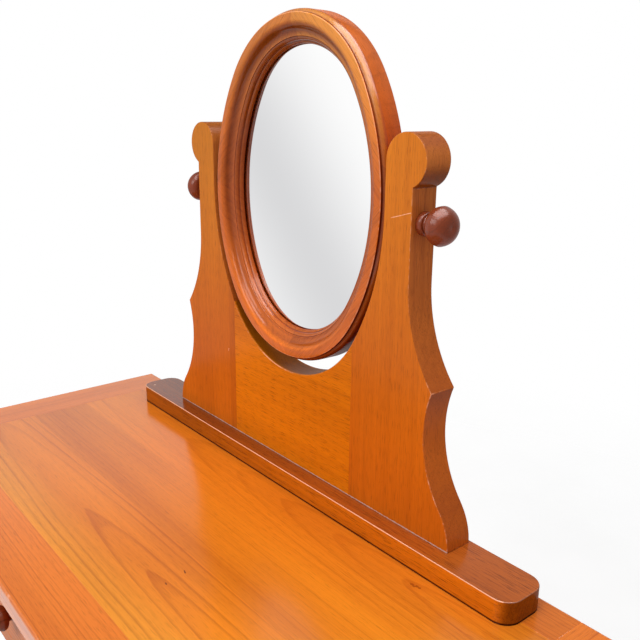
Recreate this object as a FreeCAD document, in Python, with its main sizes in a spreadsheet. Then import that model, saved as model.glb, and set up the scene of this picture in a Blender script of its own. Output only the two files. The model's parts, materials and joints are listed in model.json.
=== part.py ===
"""Dressing table with three drawers and an oval mirror that tilts in a shaped stand.

Frame: +Z up, +Y to the back, origin on the floor under the middle of the table top. Millimetres.
"""
import FreeCAD
import Part
import Sketcher
import math
import os
from collections import namedtuple

from FreeCAD import Vector

doc = FreeCAD.newDocument("DressingTable")

SIZES = (
    ("table_height", 750, "floor to the upper face of the table top"),
    ("top_length", 1000, "table top along X"),
    ("top_depth", 440, "table top along Y"),
    ("top_thickness", 25, "table top along Z"),
    ("top_band_width", 70, "end boards and front band of the table top"),
    ("back_band_width", 50, "back band of the table top"),
    ("side_overhang", 30, "table top past the legs at each end"),
    ("front_overhang", 30, "table top past the front legs"),
    ("back_overhang", 20, "table top past the back legs"),
    ("tongue_thickness", 8, "tongues of the table top, runners and kickers"),
    ("tongue_length", 10, "how far a tongue reaches"),
    ("tongue_inset", 15, "end of a band's tongue from the band's outer edge"),
    ("glue_gap", 0.5, "room past the end of a tongue, tenon or dowel"),
    ("leg_size", 50, "square block of a leg"),
    ("leg_block_drop", 15, "square block of a leg under the frieze"),
    ("leg_toe_radius", 12, "leg where it meets the floor and above its foot"),
    ("leg_foot_height", 36, "round foot of a leg"),
    ("leg_foot_round", 20, "section radius of the round foot"),
    ("leg_stem_radius", 19, "leg under its block"),
    ("leg_ring_height", 16, "each turned ring under the block"),
    ("leg_ring_round", 9, "section radius of a ring"),
    ("leg_cove_height", 40, "hollow between the two rings"),
    ("leg_cove_round", 55, "section radius of the hollow"),
    ("frieze_height", 150, "sides, back and drawer front as a whole"),
    ("reveal", 4, "set-back of sides, back and rails from the faces of the legs"),
    ("side_thickness", 22, "side boards"),
    ("back_thickness", 18, "back board"),
    ("tenon_thickness", 10, "tenons of sides, back, rails and dividers"),
    ("tenon_length", 28, "tenons of the sides"),
    ("mortise_wall", 2, "wood between the two mortises of a back leg"),
    ("tenon_shoulder", 20, "side and back tenons from the edges of the board"),
    ("rail_height", 22, "front rails, runners and kickers along Z"),
    ("rail_depth", 60, "front rails and dividers along Y"),
    ("rail_tenon_length", 20, "tenons of the rails"),
    ("rail_tenon_inset", 10, "rail and divider tenons from the front face"),
    ("rail_tenon_cover", 6, "leg behind the tenons of the rails"),
    ("divider_width", 22, "dividers between the drawers"),
    ("divider_tenon_length", 12, "tenons of the dividers"),
    ("center_opening", 320, "width between the dividers"),
    ("runner_ledge", 16, "how far a runner reaches under a drawer"),
    ("guide_height", 20, "side guides of the drawers"),
    ("stop_width", 30, "drawer stops along X"),
    ("stop_height", 30, "drawer stops along Z"),
    ("drawer_back_room", 24, "behind the drawers"),
    ("drawer_side_gap", 1, "drawer to the opening at each side"),
    ("drawer_top_gap", 1.5, "drawer to the upper rail"),
    ("slide_gap", 0.3, "between moving and fixed faces"),
    ("front_thickness", 20, "drawer fronts"),
    ("lap_thickness", 8, "drawer front past the ends of the drawer sides"),
    ("wall_thickness", 12, "drawer sides and backs"),
    ("wall_groove", 5, "grooves in the drawer walls"),
    ("bottom_thickness", 6, "drawer bottoms"),
    ("bottom_inset", 8, "drawer bottom from the lower edges of the sides"),
    ("drawer_back_inset", 8, "drawer back from the ends of the sides"),
    ("pull_spread", 80, "pulls of the wide drawer, from its middle"),
    ("pull_radius", 16, "drawer pull"),
    ("pull_crown", 9, "drawer pull, rim to its tip"),
    ("pull_underside", 7, "drawer pull, neck to rim"),
    ("pull_underside_round", 10, "section radius under the rim"),
    ("pull_neck_radius", 7, "drawer pull"),
    ("pull_neck_length", 6, "drawer pull"),
    ("pull_collar_radius", 10, "drawer pull"),
    ("pull_collar_length", 3, "drawer pull"),
    ("pull_spigot_radius", 5, "drawer pull, in the drawer front"),
    ("pull_spigot_length", 15, "drawer pull, in the drawer front"),
    ("base_length", 784, "base board of the stand along X"),
    ("base_thickness", 27, "base board along Z"),
    ("base_corner_radius", 20, "base board, seen from above"),
    ("base_setback", 9, "base board from the back edge of the table top"),
    ("upright_setback", 23, "uprights from the front of the base board"),
    ("upright_cover", 4, "base board behind the uprights"),
    ("upright_thickness", 37, "uprights and centre panel along Y"),
    ("foot_width", 117, "upright at the base board, past the side of the cut-out"),
    ("foot_round", 73, "swelling foot of an upright"),
    ("waist_width", 73, "narrowest place over the foot, past the side of the cut-out"),
    ("waist_rise", 128, "narrowest place over the base board"),
    ("cusp_rise", 176, "outer point over the base board"),
    ("neck_width", 41, "upright under its head"),
    ("shoulder_drop", 65, "where the outer edge turns straight, under the tilt axis"),
    ("head_radius", 29.5, "round head of an upright"),
    ("head_rise", 65, "middle of the head over the tilt axis"),
    ("panel_height", 130.5, "centre panel at its lowest"),
    ("mirror_side_gap", 3, "mirror frame to the side of the cut-out"),
    ("mirror_under_gap", 16, "half height of the cut-out past that of the mirror frame"),
    ("cutout_tuck", 24, "lower curve of the cut-out, radius under its half width"),
    ("cutout_drop", 2, "middle of the cut-out under that of the mirror"),
    ("dowel_radius", 5, "dowels of the stand"),
    ("dowel_base_depth", 15, "dowels in the base board"),
    ("dowel_board_depth", 25, "dowels in the uprights and the panel"),
    ("foot_dowel_inset", 36, "outer dowel under an upright, from the edge of the foot"),
    ("foot_dowel_pitch", 50, "dowels under an upright"),
    ("panel_dowel_spread", 60, "dowels under the panel, from the middle"),
    ("seam_dowel_low", 53, "lower dowels of the seams, over the base board"),
    ("seam_dowel_high", 12.5, "upper dowels of the seams, over the bottom of the cut-out"),
    ("mirror_lean", 1, "mirror leaning back, degrees"),
    ("mirror_rise", 12.5, "middle of the mirror over the tilt axis"),
    ("frame_half_width", 171, "mirror frame"),
    ("frame_half_height", 217, "mirror frame"),
    ("frame_tuck", 19, "upper and lower curves of the frame, radius under its half width"),
    ("frame_depth", 35, "mirror frame along Y"),
    ("frame_width", 39, "outer edge to the edge of the glass"),
    ("frame_shoulder_width", 4.5, "rounded outer edge, to the front band"),
    ("frame_shoulder_depth", 11, "rounded outer edge, from the front of the frame"),
    ("frame_shoulder_round", 9.1, "section radius of the outer edge"),
    ("frame_band_step", 3.2, "front band standing over the outer edge"),
    ("frame_band_width", 8.5, "flat part of the front band"),
    ("frame_band_curve", 8, "inner edge of the front band, across the frame"),
    ("frame_band_fall", 4.6, "inner edge of the front band, front to back"),
    ("frame_band_round", 9.3, "section radius of the inner edge of the band"),
    ("frame_wall_slant", 9.6, "hollow inside the band, from its top to its foot"),
    ("frame_wall_depth", 10.4, "foot of the hollow from the front of the frame"),
    ("frame_wall_round", 10.9, "section radius of the hollow"),
    ("frame_bead_width", 5, "bead at the foot of the hollow"),
    ("frame_bead_drop", 6, "bead, from the hollow to the slope"),
    ("frame_bead_round", 7, "section radius of the bead"),
    ("frame_slope_round", 6, "section radius of the slope between bead and glass"),
    ("frame_lip", 1, "thickness of the lip over the glass"),
    ("glass_setback", 21.8, "glass from the front of the frame"),
    ("glass_lap", 9.5, "lip over the glass"),
    ("glass_thickness", 4, "mirror glass"),
    ("glass_gap", 0.5, "around and behind the glass, and around the backboard"),
    ("board_lap", 11.5, "ledge under the backboard"),
    ("board_thickness", 5, "backboard"),
    ("back_screw_end_angle", 22, "back screws from the top and bottom, degrees"),
    ("back_screw_side_angle", 16, "back screws from the sides, degrees"),
    ("back_screw_radius", 1.6, "back screws"),
    ("back_screw_head", 3.2, "head radius of a back screw"),
    ("back_screw_length", 15, "back screws"),
    ("stud_radius", 3, "pivot studs"),
    ("stud_reach", 13, "pivot stud in the mirror frame"),
    ("stud_grip", 25, "pivot stud in its knob"),
    ("running_gap", 0.05, "around the studs"),
    ("bush_radius", 5, "bush in an upright"),
    ("bush_flange_radius", 9, "flange between upright and mirror frame"),
    ("bush_flange_gap", 0.4, "flange to the mirror frame"),
    ("bush_seat_gap", 0.8, "flange to the curve of the cut-out"),
    ("insert_radius", 5.5, "insert in the mirror frame"),
    ("insert_length", 15, "insert in the mirror frame"),
    ("insert_recess", 0.6, "insert under the outer edge of the mirror frame"),
    ("knob_radius", 21.5, "mirror knob"),
    ("knob_crown", 15, "mirror knob, rim to its tip"),
    ("knob_underside", 11, "mirror knob, neck to rim"),
    ("knob_underside_round", 15, "section radius under the rim"),
    ("knob_neck_radius", 8.5, "mirror knob"),
    ("knob_neck_length", 10, "mirror knob"),
    ("knob_collar_radius", 13, "mirror knob"),
    ("knob_collar_length", 4, "mirror knob"),
    ("screw_radius", 2.5, "screws through the table top and the kickers"),
    ("screw_head", 5, "their head radius"),
    ("screw_bite", 15, "how far they reach into the wood they hold"),
    ("stand_screw_inner", 60, "inner stand screws, from the middle"),
    ("stand_screw_outer", 300, "outer stand screws, from the middle"),
    ("stand_screw_inset", 13, "stand screws from the front of the base board"),
    ("top_screw_inset", 70, "kicker screws from the ends of a kicker"),
)

sheet = doc.addObject("Spreadsheet::Sheet", "Size")
for row, (alias, size, note) in enumerate(SIZES, start=1):
    sheet.set(f"A{row}", note)
    sheet.set(f"B{row}", str(size))
    sheet.setAlias(f"B{row}", alias)
doc.recompute()

nodes = []


# Drawing

def number(expression):
    """Value of an expression on the sheet."""
    result = sheet.evalExpression(expression)
    return float(getattr(result, "Value", result))


def minus(expression):
    """The same distance on the other side of zero."""
    return f"-({expression})"


def node(piece):
    """Count a finished piece among the sub-parts, under its own name."""
    piece.Label = piece.Name
    nodes.append(piece)
    return piece


def place(piece, position, direction=None):
    """Put a piece at three expressions, with its own Z along a direction."""
    if direction:
        turn = FreeCAD.Rotation(Vector(0, 0, 1), direction)
        piece.Placement = FreeCAD.Placement(Vector(), turn)
    for axis, expression in zip("xyz", position):
        piece.setExpression(f"Placement.Base.{axis}", expression)


def box(name, low, high):
    """A squared piece between two corners."""
    piece = doc.addObject("Part::Box", name)
    for side, start, end in zip(("Length", "Width", "Height"), low, high):
        piece.setExpression(side, f"({end}) - ({start})")
    place(piece, low)
    return piece


def cylinder(name, radius, length, start, direction):
    """A round piece from a start point along a direction."""
    piece = doc.addObject("Part::Cylinder", name)
    piece.setExpression("Radius", radius)
    piece.setExpression("Height", length)
    place(piece, start, direction)
    return piece


def group(name, pieces):
    """Like pieces that stay apart."""
    piece = doc.addObject("Part::Compound", name)
    piece.Links = pieces
    return piece


def fuse(name, pieces):
    """Pieces that are one solid."""
    piece = doc.addObject("Part::MultiFuse", name)
    piece.Shapes = pieces
    piece.Refine = True
    return piece


def cut(name, base, tools):
    """A piece with the tools' shapes taken out of it."""
    piece = doc.addObject("Part::Cut", name)
    piece.Base = base
    piece.Tool = tools[0] if len(tools) == 1 else group(f"{name}_cuts", tools)
    piece.Refine = True
    return piece


def mirrored(name, source, normal=Vector(1, 0, 0), height=None):
    """The same piece on the other side of a plane."""
    piece = doc.addObject("Part::Mirroring", name)
    piece.Source = source
    piece.Normal = normal
    if height:
        piece.setExpression("Base.z", height)
    return piece


Round = namedtuple("Round", "radius turn long_way", defaults=(False,))
COUNTERCLOCKWISE = 1
CLOCKWISE = -1


def arc(start, end, bend):
    """Arc geometry from start to end, and which of its ends is its start."""
    radius = number(bend.radius)
    chord = end - start
    reach = math.sqrt(max(radius ** 2 - (chord.Length / 2) ** 2, 0))
    across = Vector(-chord.y, chord.x, 0).normalize()
    side = bend.turn * (-1 if bend.long_way else 1)
    center = start + chord / 2 + across * reach * side
    first, last = (start, end) if bend.turn == COUNTERCLOCKWISE else (end, start)
    angles = [math.atan2(point.y - center.y, point.x - center.x) for point in (first, last)]
    circle = Part.Circle(center, Vector(0, 0, 1), radius)
    return Part.ArcOfCircle(circle, *angles)


def draw(sketch, corners, rounds):
    """Close an outline through its corners; rounds holds the arcs by the corner they leave from."""
    points = [Vector(number(across), number(up), 0) for across, up in corners]
    ends = []
    for index, start in enumerate(points):
        end = points[(index + 1) % len(points)]
        bend = rounds.get(index)
        shape = arc(start, end, bend) if bend else Part.LineSegment(start, end)
        edge = sketch.addGeometry(shape)
        backward = bend is not None and bend.turn == CLOCKWISE
        ends.append((edge, 2, 1) if backward else (edge, 1, 2))
    for index, (edge, start, end) in enumerate(ends):
        following = ends[(index + 1) % len(ends)]
        sketch.addConstraint(Sketcher.Constraint("Coincident", edge, end, following[0], following[1]))
        for kind, value, expression in zip(("DistanceX", "DistanceY"), points[index], corners[index]):
            bound(sketch, f"corner_{index}_{kind[-1].lower()}", expression,
                  Sketcher.Constraint(kind, -1, 1, edge, start, value))
        if index in rounds:
            radius = rounds[index].radius
            bound(sketch, f"round_{index}", radius, Sketcher.Constraint("Radius", edge, number(radius)))


def bound(sketch, name, expression, constraint):
    """Add a constraint that follows the sheet."""
    sketch.renameConstraint(sketch.addConstraint(constraint), name)
    sketch.setExpression(f"Constraints.{name}", expression)


def body_with(name, plane, corners, rounds):
    """A body with one outline on one of its own planes."""
    body = doc.addObject("PartDesign::Body", name)
    sketch = body.newObject("Sketcher::SketchObject", f"{name}_outline")
    support = next(item for item in body.Origin.OriginFeatures if item.Role == plane)
    sketch.AttachmentSupport = (support, [""])
    sketch.MapMode = "FlatFace"
    draw(sketch, corners, rounds)
    return body, sketch


def board(name, corners, rounds, thickness, plane="XZ_Plane"):
    """A board sawn to an outline, standing (thick along +Y) or lying (thick along +Z)."""
    body, sketch = body_with(name, plane, corners, rounds)
    pad = body.newObject("PartDesign::Pad", f"{name}_pad")
    pad.Profile = sketch
    pad.Reversed = plane == "XZ_Plane"
    pad.setExpression("Length", thickness)
    return body


def turned(name, corners, rounds, plane="XZ_Plane", axis="V_Axis", angle=None, backward=False):
    """A piece turned about an axis of its outline, full round unless an angle is given."""
    body, sketch = body_with(name, plane, corners, rounds)
    revolution = body.newObject("PartDesign::Revolution", f"{name}_turn")
    revolution.Profile = sketch
    revolution.ReferenceAxis = (sketch, [axis])
    revolution.Reversed = backward
    revolution.Angle = 360
    if angle:
        revolution.setExpression("Angle", angle)
    return body


def countersunk(name, radius, head, length, start, direction):
    """A screw from its head's outer face, with a 45-degree countersunk head."""
    shank = cylinder(f"{name}_shank", radius, length, start, direction)
    cone = doc.addObject("Part::Cone", f"{name}_head")
    cone.setExpression("Radius1", head)
    cone.setExpression("Radius2", radius)
    cone.setExpression("Height", f"{head} - {radius}")
    place(cone, start, direction)
    return fuse(name, [shank, cone])


X_AXIS = Vector(1, 0, 0)
Y_AXIS = Vector(0, 1, 0)
Z_AXIS = Vector(0, 0, 1)

# Levels and faces that the pieces share

TOP = "Size.table_height"
CARCASS_TOP = "(Size.table_height - Size.top_thickness)"
FRIEZE_BOTTOM = f"({CARCASS_TOP} - Size.frieze_height)"
RUNNER_TOP = f"({FRIEZE_BOTTOM} + Size.rail_height)"
KICKER_BOTTOM = f"({CARCASS_TOP} - Size.rail_height)"
HALF_LENGTH = "(Size.top_length / 2)"
HALF_DEPTH = "(Size.top_depth / 2)"
LEG_SIDE = f"({HALF_LENGTH} - Size.side_overhang)"
LEG_FRONT = f"(Size.front_overhang - {HALF_DEPTH})"
LEG_BACK = f"({HALF_DEPTH} - Size.back_overhang)"
FRONT_LEG_INSIDE = f"({LEG_FRONT} + Size.leg_size)"
BACK_LEG_INSIDE = f"({LEG_BACK} - Size.leg_size)"
WALL = f"({LEG_SIDE} - Size.leg_size)"
SIDE_OUTSIDE = f"({LEG_SIDE} - Size.reveal)"
SIDE_INSIDE = f"({SIDE_OUTSIDE} - Size.side_thickness)"
BACK_OUTSIDE = f"({LEG_BACK} - Size.reveal)"
BACK_INSIDE = f"({BACK_OUTSIDE} - Size.back_thickness)"
RAIL_FRONT = f"({LEG_FRONT} + Size.reveal)"
RAIL_BACK = f"({RAIL_FRONT} + Size.rail_depth)"
DIVIDER_INSIDE = "(Size.center_opening / 2)"
DIVIDER_OUTSIDE = f"({DIVIDER_INSIDE} + Size.divider_width)"
BASE_BACK = f"({HALF_DEPTH} - Size.base_setback)"
STAND_FRONT = f"({BASE_BACK} - Size.upright_cover - Size.upright_thickness)"
BASE_FRONT = f"({STAND_FRONT} - Size.upright_setback)"
STAND_MIDDLE = f"({STAND_FRONT} + Size.upright_thickness / 2)"
CUTOUT_BOTTOM = "(Size.base_thickness + Size.panel_height)"
CUTOUT_HALF_HEIGHT = "(Size.frame_half_height + Size.mirror_under_gap)"
CUTOUT_SIDE = "(Size.frame_half_width + Size.mirror_side_gap)"
CUTOUT_MIDDLE = f"({CUTOUT_BOTTOM} + {CUTOUT_HALF_HEIGHT})"
PIVOT_HEIGHT = f"({CUTOUT_MIDDLE} + Size.cutout_drop - Size.mirror_rise)"
PIVOT = f"({TOP} + {PIVOT_HEIGHT})"

# Table top: a field panel tongued into a front band, a back band and two end boards

FIELD_SIDE = f"({HALF_LENGTH} - Size.top_band_width)"
FIELD_FRONT = f"(Size.top_band_width - {HALF_DEPTH})"
FIELD_BACK = f"({HALF_DEPTH} - Size.back_band_width)"
TONGUE_LOW = f"({CARCASS_TOP} + (Size.top_thickness - Size.tongue_thickness) / 2)"
TONGUE_HIGH = f"({TONGUE_LOW} + Size.tongue_thickness)"


def panel_tongue(name, reach):
    """The field panel's thin edge, reaching past the field all round."""
    return box(name, (f"-{FIELD_SIDE} - ({reach})", f"{FIELD_FRONT} - ({reach})", TONGUE_LOW),
               (f"{FIELD_SIDE} + ({reach})", f"{FIELD_BACK} + ({reach})", TONGUE_HIGH))


def band_tongue(name, near, far, reach):
    """The tongues at both ends of a band, in one piece through the band."""
    return box(name, (f"-{FIELD_SIDE} - ({reach})", near, TONGUE_LOW),
               (f"{FIELD_SIDE} + ({reach})", far, TONGUE_HIGH))


DEEP_TONGUE = "(Size.tongue_length + Size.glue_gap)"
FRONT_TONGUE = (f"Size.tongue_inset - {HALF_DEPTH}", f"{FIELD_FRONT} - {DEEP_TONGUE}")
BACK_TONGUE = (f"{FIELD_BACK} + {DEEP_TONGUE}", f"{HALF_DEPTH} - Size.tongue_inset")

stand_screws = []
for side in ("-", ""):
    for place_name in ("inner", "outer"):
        stand_screws.append(countersunk(
            f"stand_screw_{len(stand_screws) + 1}", "Size.screw_radius", "Size.screw_head",
            "Size.top_thickness + Size.screw_bite",
            (f"{side}Size.stand_screw_{place_name}", f"{BASE_FRONT} + Size.stand_screw_inset", CARCASS_TOP),
            Z_AXIS))

KICKER_SCREW_DEPTHS = (f"{RAIL_BACK} + Size.top_screw_inset", f"{BACK_LEG_INSIDE} - Size.top_screw_inset")
KICKER_SCREW_SIDES = (f"{DIVIDER_INSIDE} + Size.divider_width / 2", f"{WALL}")
top_screws = []
for side in ("-", ""):
    for across in KICKER_SCREW_SIDES:
        for depth in KICKER_SCREW_DEPTHS:
            top_screws.append(countersunk(
                f"top_screw_{len(top_screws) + 1}", "Size.screw_radius", "Size.screw_head",
                "Size.rail_height + Size.screw_bite", (f"{side}({across})", depth, KICKER_BOTTOM), Z_AXIS))

node(group("stand_screws", stand_screws))
node(group("top_screws", top_screws))

panel_core = box("top_panel_core", (minus(FIELD_SIDE), FIELD_FRONT, CARCASS_TOP),
                 (FIELD_SIDE, FIELD_BACK, TOP))
panel_edge = panel_tongue("top_panel_tongue", "Size.tongue_length")
node(cut("top_panel", fuse("top_panel_blank", [panel_core, panel_edge]),
         top_screws + stand_screws))

panel_groove = panel_tongue("top_panel_groove", DEEP_TONGUE)
for name, (low, high), tongue in (
        ("top_front_band", (minus(HALF_DEPTH), FIELD_FRONT), FRONT_TONGUE),
        ("top_back_band", (FIELD_BACK, HALF_DEPTH), BACK_TONGUE)):
    blank = box(f"{name}_blank", (minus(FIELD_SIDE), low, CARCASS_TOP), (FIELD_SIDE, high, TOP))
    grooved = cut(f"{name}_grooved", blank, [panel_groove])
    added = band_tongue(f"{name}_tongue", *tongue, "Size.tongue_length")
    tongued = fuse(f"{name}_tongued", [grooved, added])
    node(cut(name, tongued, stand_screws))

end_grooves = [panel_groove,
               band_tongue("top_front_groove", *FRONT_TONGUE, DEEP_TONGUE),
               band_tongue("top_back_groove", *BACK_TONGUE, DEEP_TONGUE)]
end_blank = box("top_right_end_blank", (FIELD_SIDE, minus(HALF_DEPTH), CARCASS_TOP),
                (HALF_LENGTH, HALF_DEPTH, TOP))
end_grooved = cut("top_right_end_grooved", end_blank, [fuse("top_end_grooves", end_grooves)])
right_end = node(cut("top_right_end", end_grooved, top_screws))
node(mirrored("top_left_end", right_end))

# Carcass: boards and rails tenoned into the leg blocks

SIDE_TENON = f"({SIDE_INSIDE} + (Size.side_thickness - Size.tenon_thickness) / 2)"
BACK_TENON_LENGTH = f"({SIDE_TENON} - {WALL} - Size.mortise_wall)"
RAIL_TENON_WIDTH = "(Size.leg_size - Size.reveal - Size.rail_tenon_inset - Size.rail_tenon_cover)"


def tenon_heights():
    """Lower and upper edges of the tenons of the sides and the back."""
    return f"{FRIEZE_BOTTOM} + Size.tenon_shoulder", f"{CARCASS_TOP} - Size.tenon_shoulder"


def side_tenon(name, reach):
    """The tenons at both ends of the right side, in one piece through the side."""
    low, high = tenon_heights()
    return box(name, (SIDE_TENON, f"{FRONT_LEG_INSIDE} - ({reach})", low),
               (f"{SIDE_TENON} + Size.tenon_thickness", f"{BACK_LEG_INSIDE} + ({reach})", high))


def back_tenon(name, reach):
    """The tenons at both ends of the back, in one piece through the back."""
    low, high = tenon_heights()
    inner = f"{BACK_INSIDE} + (Size.back_thickness - Size.tenon_thickness) / 2"
    return box(name, (f"-{WALL} - ({reach})", inner, low),
               (f"{WALL} + ({reach})", f"{inner} + Size.tenon_thickness", high))


def rail_tenon(name, bottom, reach):
    """The tenons at both ends of a rail, in one piece through the rail."""
    low = f"{bottom} + (Size.rail_height - Size.tenon_thickness) / 2"
    front = f"{RAIL_FRONT} + Size.rail_tenon_inset"
    return box(name, (f"-{WALL} - ({reach})", front, low),
               (f"{WALL} + ({reach})", f"{front} + {RAIL_TENON_WIDTH}", f"{low} + Size.tenon_thickness"))


def divider_tenon(name, reach):
    """The tenons over and under the right divider, in one piece through the divider."""
    inner = f"{DIVIDER_INSIDE} + (Size.divider_width - Size.tenon_thickness) / 2"
    front = f"{RAIL_FRONT} + Size.rail_tenon_inset"
    return box(name, (inner, front, f"{RUNNER_TOP} - ({reach})"),
               (f"{inner} + Size.tenon_thickness", f"{front} + {RAIL_TENON_WIDTH}",
                f"{KICKER_BOTTOM} + ({reach})"))


DEEP_TENON = "Size.tenon_length + Size.glue_gap"
DEEP_RAIL_TENON = "Size.rail_tenon_length + Size.glue_gap"
DEEP_DIVIDER_TENON = "Size.divider_tenon_length + Size.glue_gap"

side_mortise = side_tenon("side_mortise", DEEP_TENON)
back_mortise = back_tenon("back_mortise", f"{BACK_TENON_LENGTH} + Size.glue_gap")
lower_mortise = rail_tenon("lower_rail_mortise", FRIEZE_BOTTOM, DEEP_RAIL_TENON)
upper_mortise = rail_tenon("upper_rail_mortise", KICKER_BOTTOM, DEEP_RAIL_TENON)
divider_mortise = divider_tenon("divider_mortise", DEEP_DIVIDER_TENON)

BLOCK_BOTTOM = f"({FRIEZE_BOTTOM} - Size.leg_block_drop)"
UPPER_RING = f"({BLOCK_BOTTOM} - Size.leg_ring_height)"
LOWER_RING_TOP = f"({UPPER_RING} - Size.leg_cove_height)"
LOWER_RING = f"({LOWER_RING_TOP} - Size.leg_ring_height)"
LEG_OUTLINE = (("0", "0"), ("Size.leg_toe_radius", "0"), ("Size.leg_toe_radius", "Size.leg_foot_height"),
               ("Size.leg_stem_radius", LOWER_RING), ("Size.leg_stem_radius", LOWER_RING_TOP),
               ("Size.leg_stem_radius", UPPER_RING), ("Size.leg_stem_radius", BLOCK_BOTTOM),
               ("0", BLOCK_BOTTOM))
LEG_ROUNDS = {1: Round("Size.leg_foot_round", COUNTERCLOCKWISE),
              3: Round("Size.leg_ring_round", COUNTERCLOCKWISE),
              4: Round("Size.leg_cove_round", CLOCKWISE),
              5: Round("Size.leg_ring_round", COUNTERCLOCKWISE)}

for end, near, mortises in (("front", LEG_FRONT, [side_mortise, lower_mortise, upper_mortise]),
                            ("back", BACK_LEG_INSIDE, [side_mortise, back_mortise])):
    stem = turned(f"{end}_leg_stem", LEG_OUTLINE, LEG_ROUNDS)
    place(stem, (f"{LEG_SIDE} - Size.leg_size / 2", f"{near} + Size.leg_size / 2", "0"))
    block = box(f"{end}_leg_block", (WALL, near, BLOCK_BOTTOM),
                (LEG_SIDE, f"{near} + Size.leg_size", CARCASS_TOP))
    leg = fuse(f"{end}_leg_blank", [stem, block])
    right_leg = node(cut(f"{end}_right_leg", leg, mortises))
    node(mirrored(f"{end}_left_leg", right_leg))

side_board = box("right_side_board", (SIDE_INSIDE, FRONT_LEG_INSIDE, FRIEZE_BOTTOM),
                 (SIDE_OUTSIDE, BACK_LEG_INSIDE, CARCASS_TOP))
right_side = node(fuse("right_side", [side_board, side_tenon("right_side_tenon", "Size.tenon_length")]))
node(mirrored("left_side", right_side))

# Bearings of the drawers: runners under them, kickers over them, guides beside them


def bearing_tongue(name, bottom, inner, outer, back, reach):
    """Tongue of a runner or kicker, reaching into the rail and, for a middle one, into the back."""
    low = f"{bottom} + (Size.rail_height - Size.tongue_thickness) / 2"
    return box(name, (inner, f"{RAIL_BACK} - ({reach})", low),
               (outer, back, f"{low} + Size.tongue_thickness"))


MIDDLE_BEARING = (f"{DIVIDER_INSIDE} - Size.runner_ledge", f"{DIVIDER_OUTSIDE} + Size.runner_ledge")
OUTER_BEARING = (f"{WALL} - Size.runner_ledge", SIDE_INSIDE)
bearing_grooves = {}
for kind, bottom, screws in (("runner", FRIEZE_BOTTOM, []), ("kicker", KICKER_BOTTOM, top_screws)):
    middle = box(f"middle_{kind}_strip", (MIDDLE_BEARING[0], RAIL_BACK, bottom),
                 (MIDDLE_BEARING[1], BACK_INSIDE, f"{bottom} + Size.rail_height"))
    middle_tongue = bearing_tongue(f"middle_{kind}_tongue", bottom, *MIDDLE_BEARING,
                                   f"{BACK_INSIDE} + Size.tongue_length", "Size.tongue_length")
    outer = box(f"outer_{kind}_strip", (OUTER_BEARING[0], RAIL_BACK, bottom),
                (OUTER_BEARING[1], BACK_LEG_INSIDE, f"{bottom} + Size.rail_height"))
    outer_tongue = bearing_tongue(f"outer_{kind}_tongue", bottom, OUTER_BEARING[0], WALL,
                                  BACK_LEG_INSIDE, "Size.tongue_length")
    pair = [fuse(f"right_middle_{kind}", [middle, middle_tongue]),
            fuse(f"right_outer_{kind}", [outer, outer_tongue])]
    if screws:
        pair = [cut(f"{piece.Name}_drilled", piece, screws) for piece in pair]
    node(group(f"drawer_{kind}s", pair + [mirrored(f"{piece.Name}_left", piece) for piece in pair]))
    groove = bearing_tongue(f"{kind}_groove", bottom, *MIDDLE_BEARING,
                            f"{BACK_INSIDE} + {DEEP_TONGUE}", DEEP_TONGUE)
    end_groove = bearing_tongue(f"{kind}_end_groove", bottom, OUTER_BEARING[0], WALL,
                                BACK_LEG_INSIDE, DEEP_TONGUE)
    pair = [groove, end_groove]
    bearing_grooves[kind] = pair + [mirrored(f"{piece.Name}_left", piece) for piece in pair]

left_divider_mortise = mirrored("left_divider_mortise", divider_mortise)
for name, bottom, kind in (("front_lower_rail", FRIEZE_BOTTOM, "runner"),
                           ("front_upper_rail", KICKER_BOTTOM, "kicker")):
    bar = box(f"{name}_bar", (minus(WALL), RAIL_FRONT, bottom),
              (WALL, RAIL_BACK, f"{bottom} + Size.rail_height"))
    tenoned = fuse(f"{name}_tenoned", [bar, rail_tenon(f"{name}_tenon", bottom, "Size.rail_tenon_length")])
    node(cut(name, tenoned, [divider_mortise, left_divider_mortise] + bearing_grooves[kind]))

back_board = box("back_board", (minus(WALL), BACK_INSIDE, FRIEZE_BOTTOM),
                 (WALL, BACK_OUTSIDE, CARCASS_TOP))
back_tenoned = fuse("back_tenoned", [back_board, back_tenon("back_tenon", BACK_TENON_LENGTH)])
node(cut("back_panel", back_tenoned, bearing_grooves["runner"] + bearing_grooves["kicker"]))

divider_bar = box("right_divider_bar", (DIVIDER_INSIDE, RAIL_FRONT, RUNNER_TOP),
                  (DIVIDER_OUTSIDE, RAIL_BACK, KICKER_BOTTOM))
divider_ends = divider_tenon("right_divider_tenon", "Size.divider_tenon_length")
right_divider = node(fuse("right_divider", [divider_bar, divider_ends]))
node(mirrored("left_divider", right_divider))

GUIDE_TOP = f"{RUNNER_TOP} + Size.guide_height"
right_guides = [box("right_middle_guide", (DIVIDER_INSIDE, RAIL_BACK, RUNNER_TOP),
                    (DIVIDER_OUTSIDE, BACK_INSIDE, GUIDE_TOP)),
                box("right_outer_guide", (WALL, FRONT_LEG_INSIDE, RUNNER_TOP),
                    (SIDE_INSIDE, BACK_LEG_INSIDE, GUIDE_TOP))]
left_guides = [mirrored(f"{guide.Name}_left", guide) for guide in right_guides]
node(group("drawer_guides", right_guides + left_guides))

# Turned knobs of the mirror and pulls of the drawers, each along +Z from its seat


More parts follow.
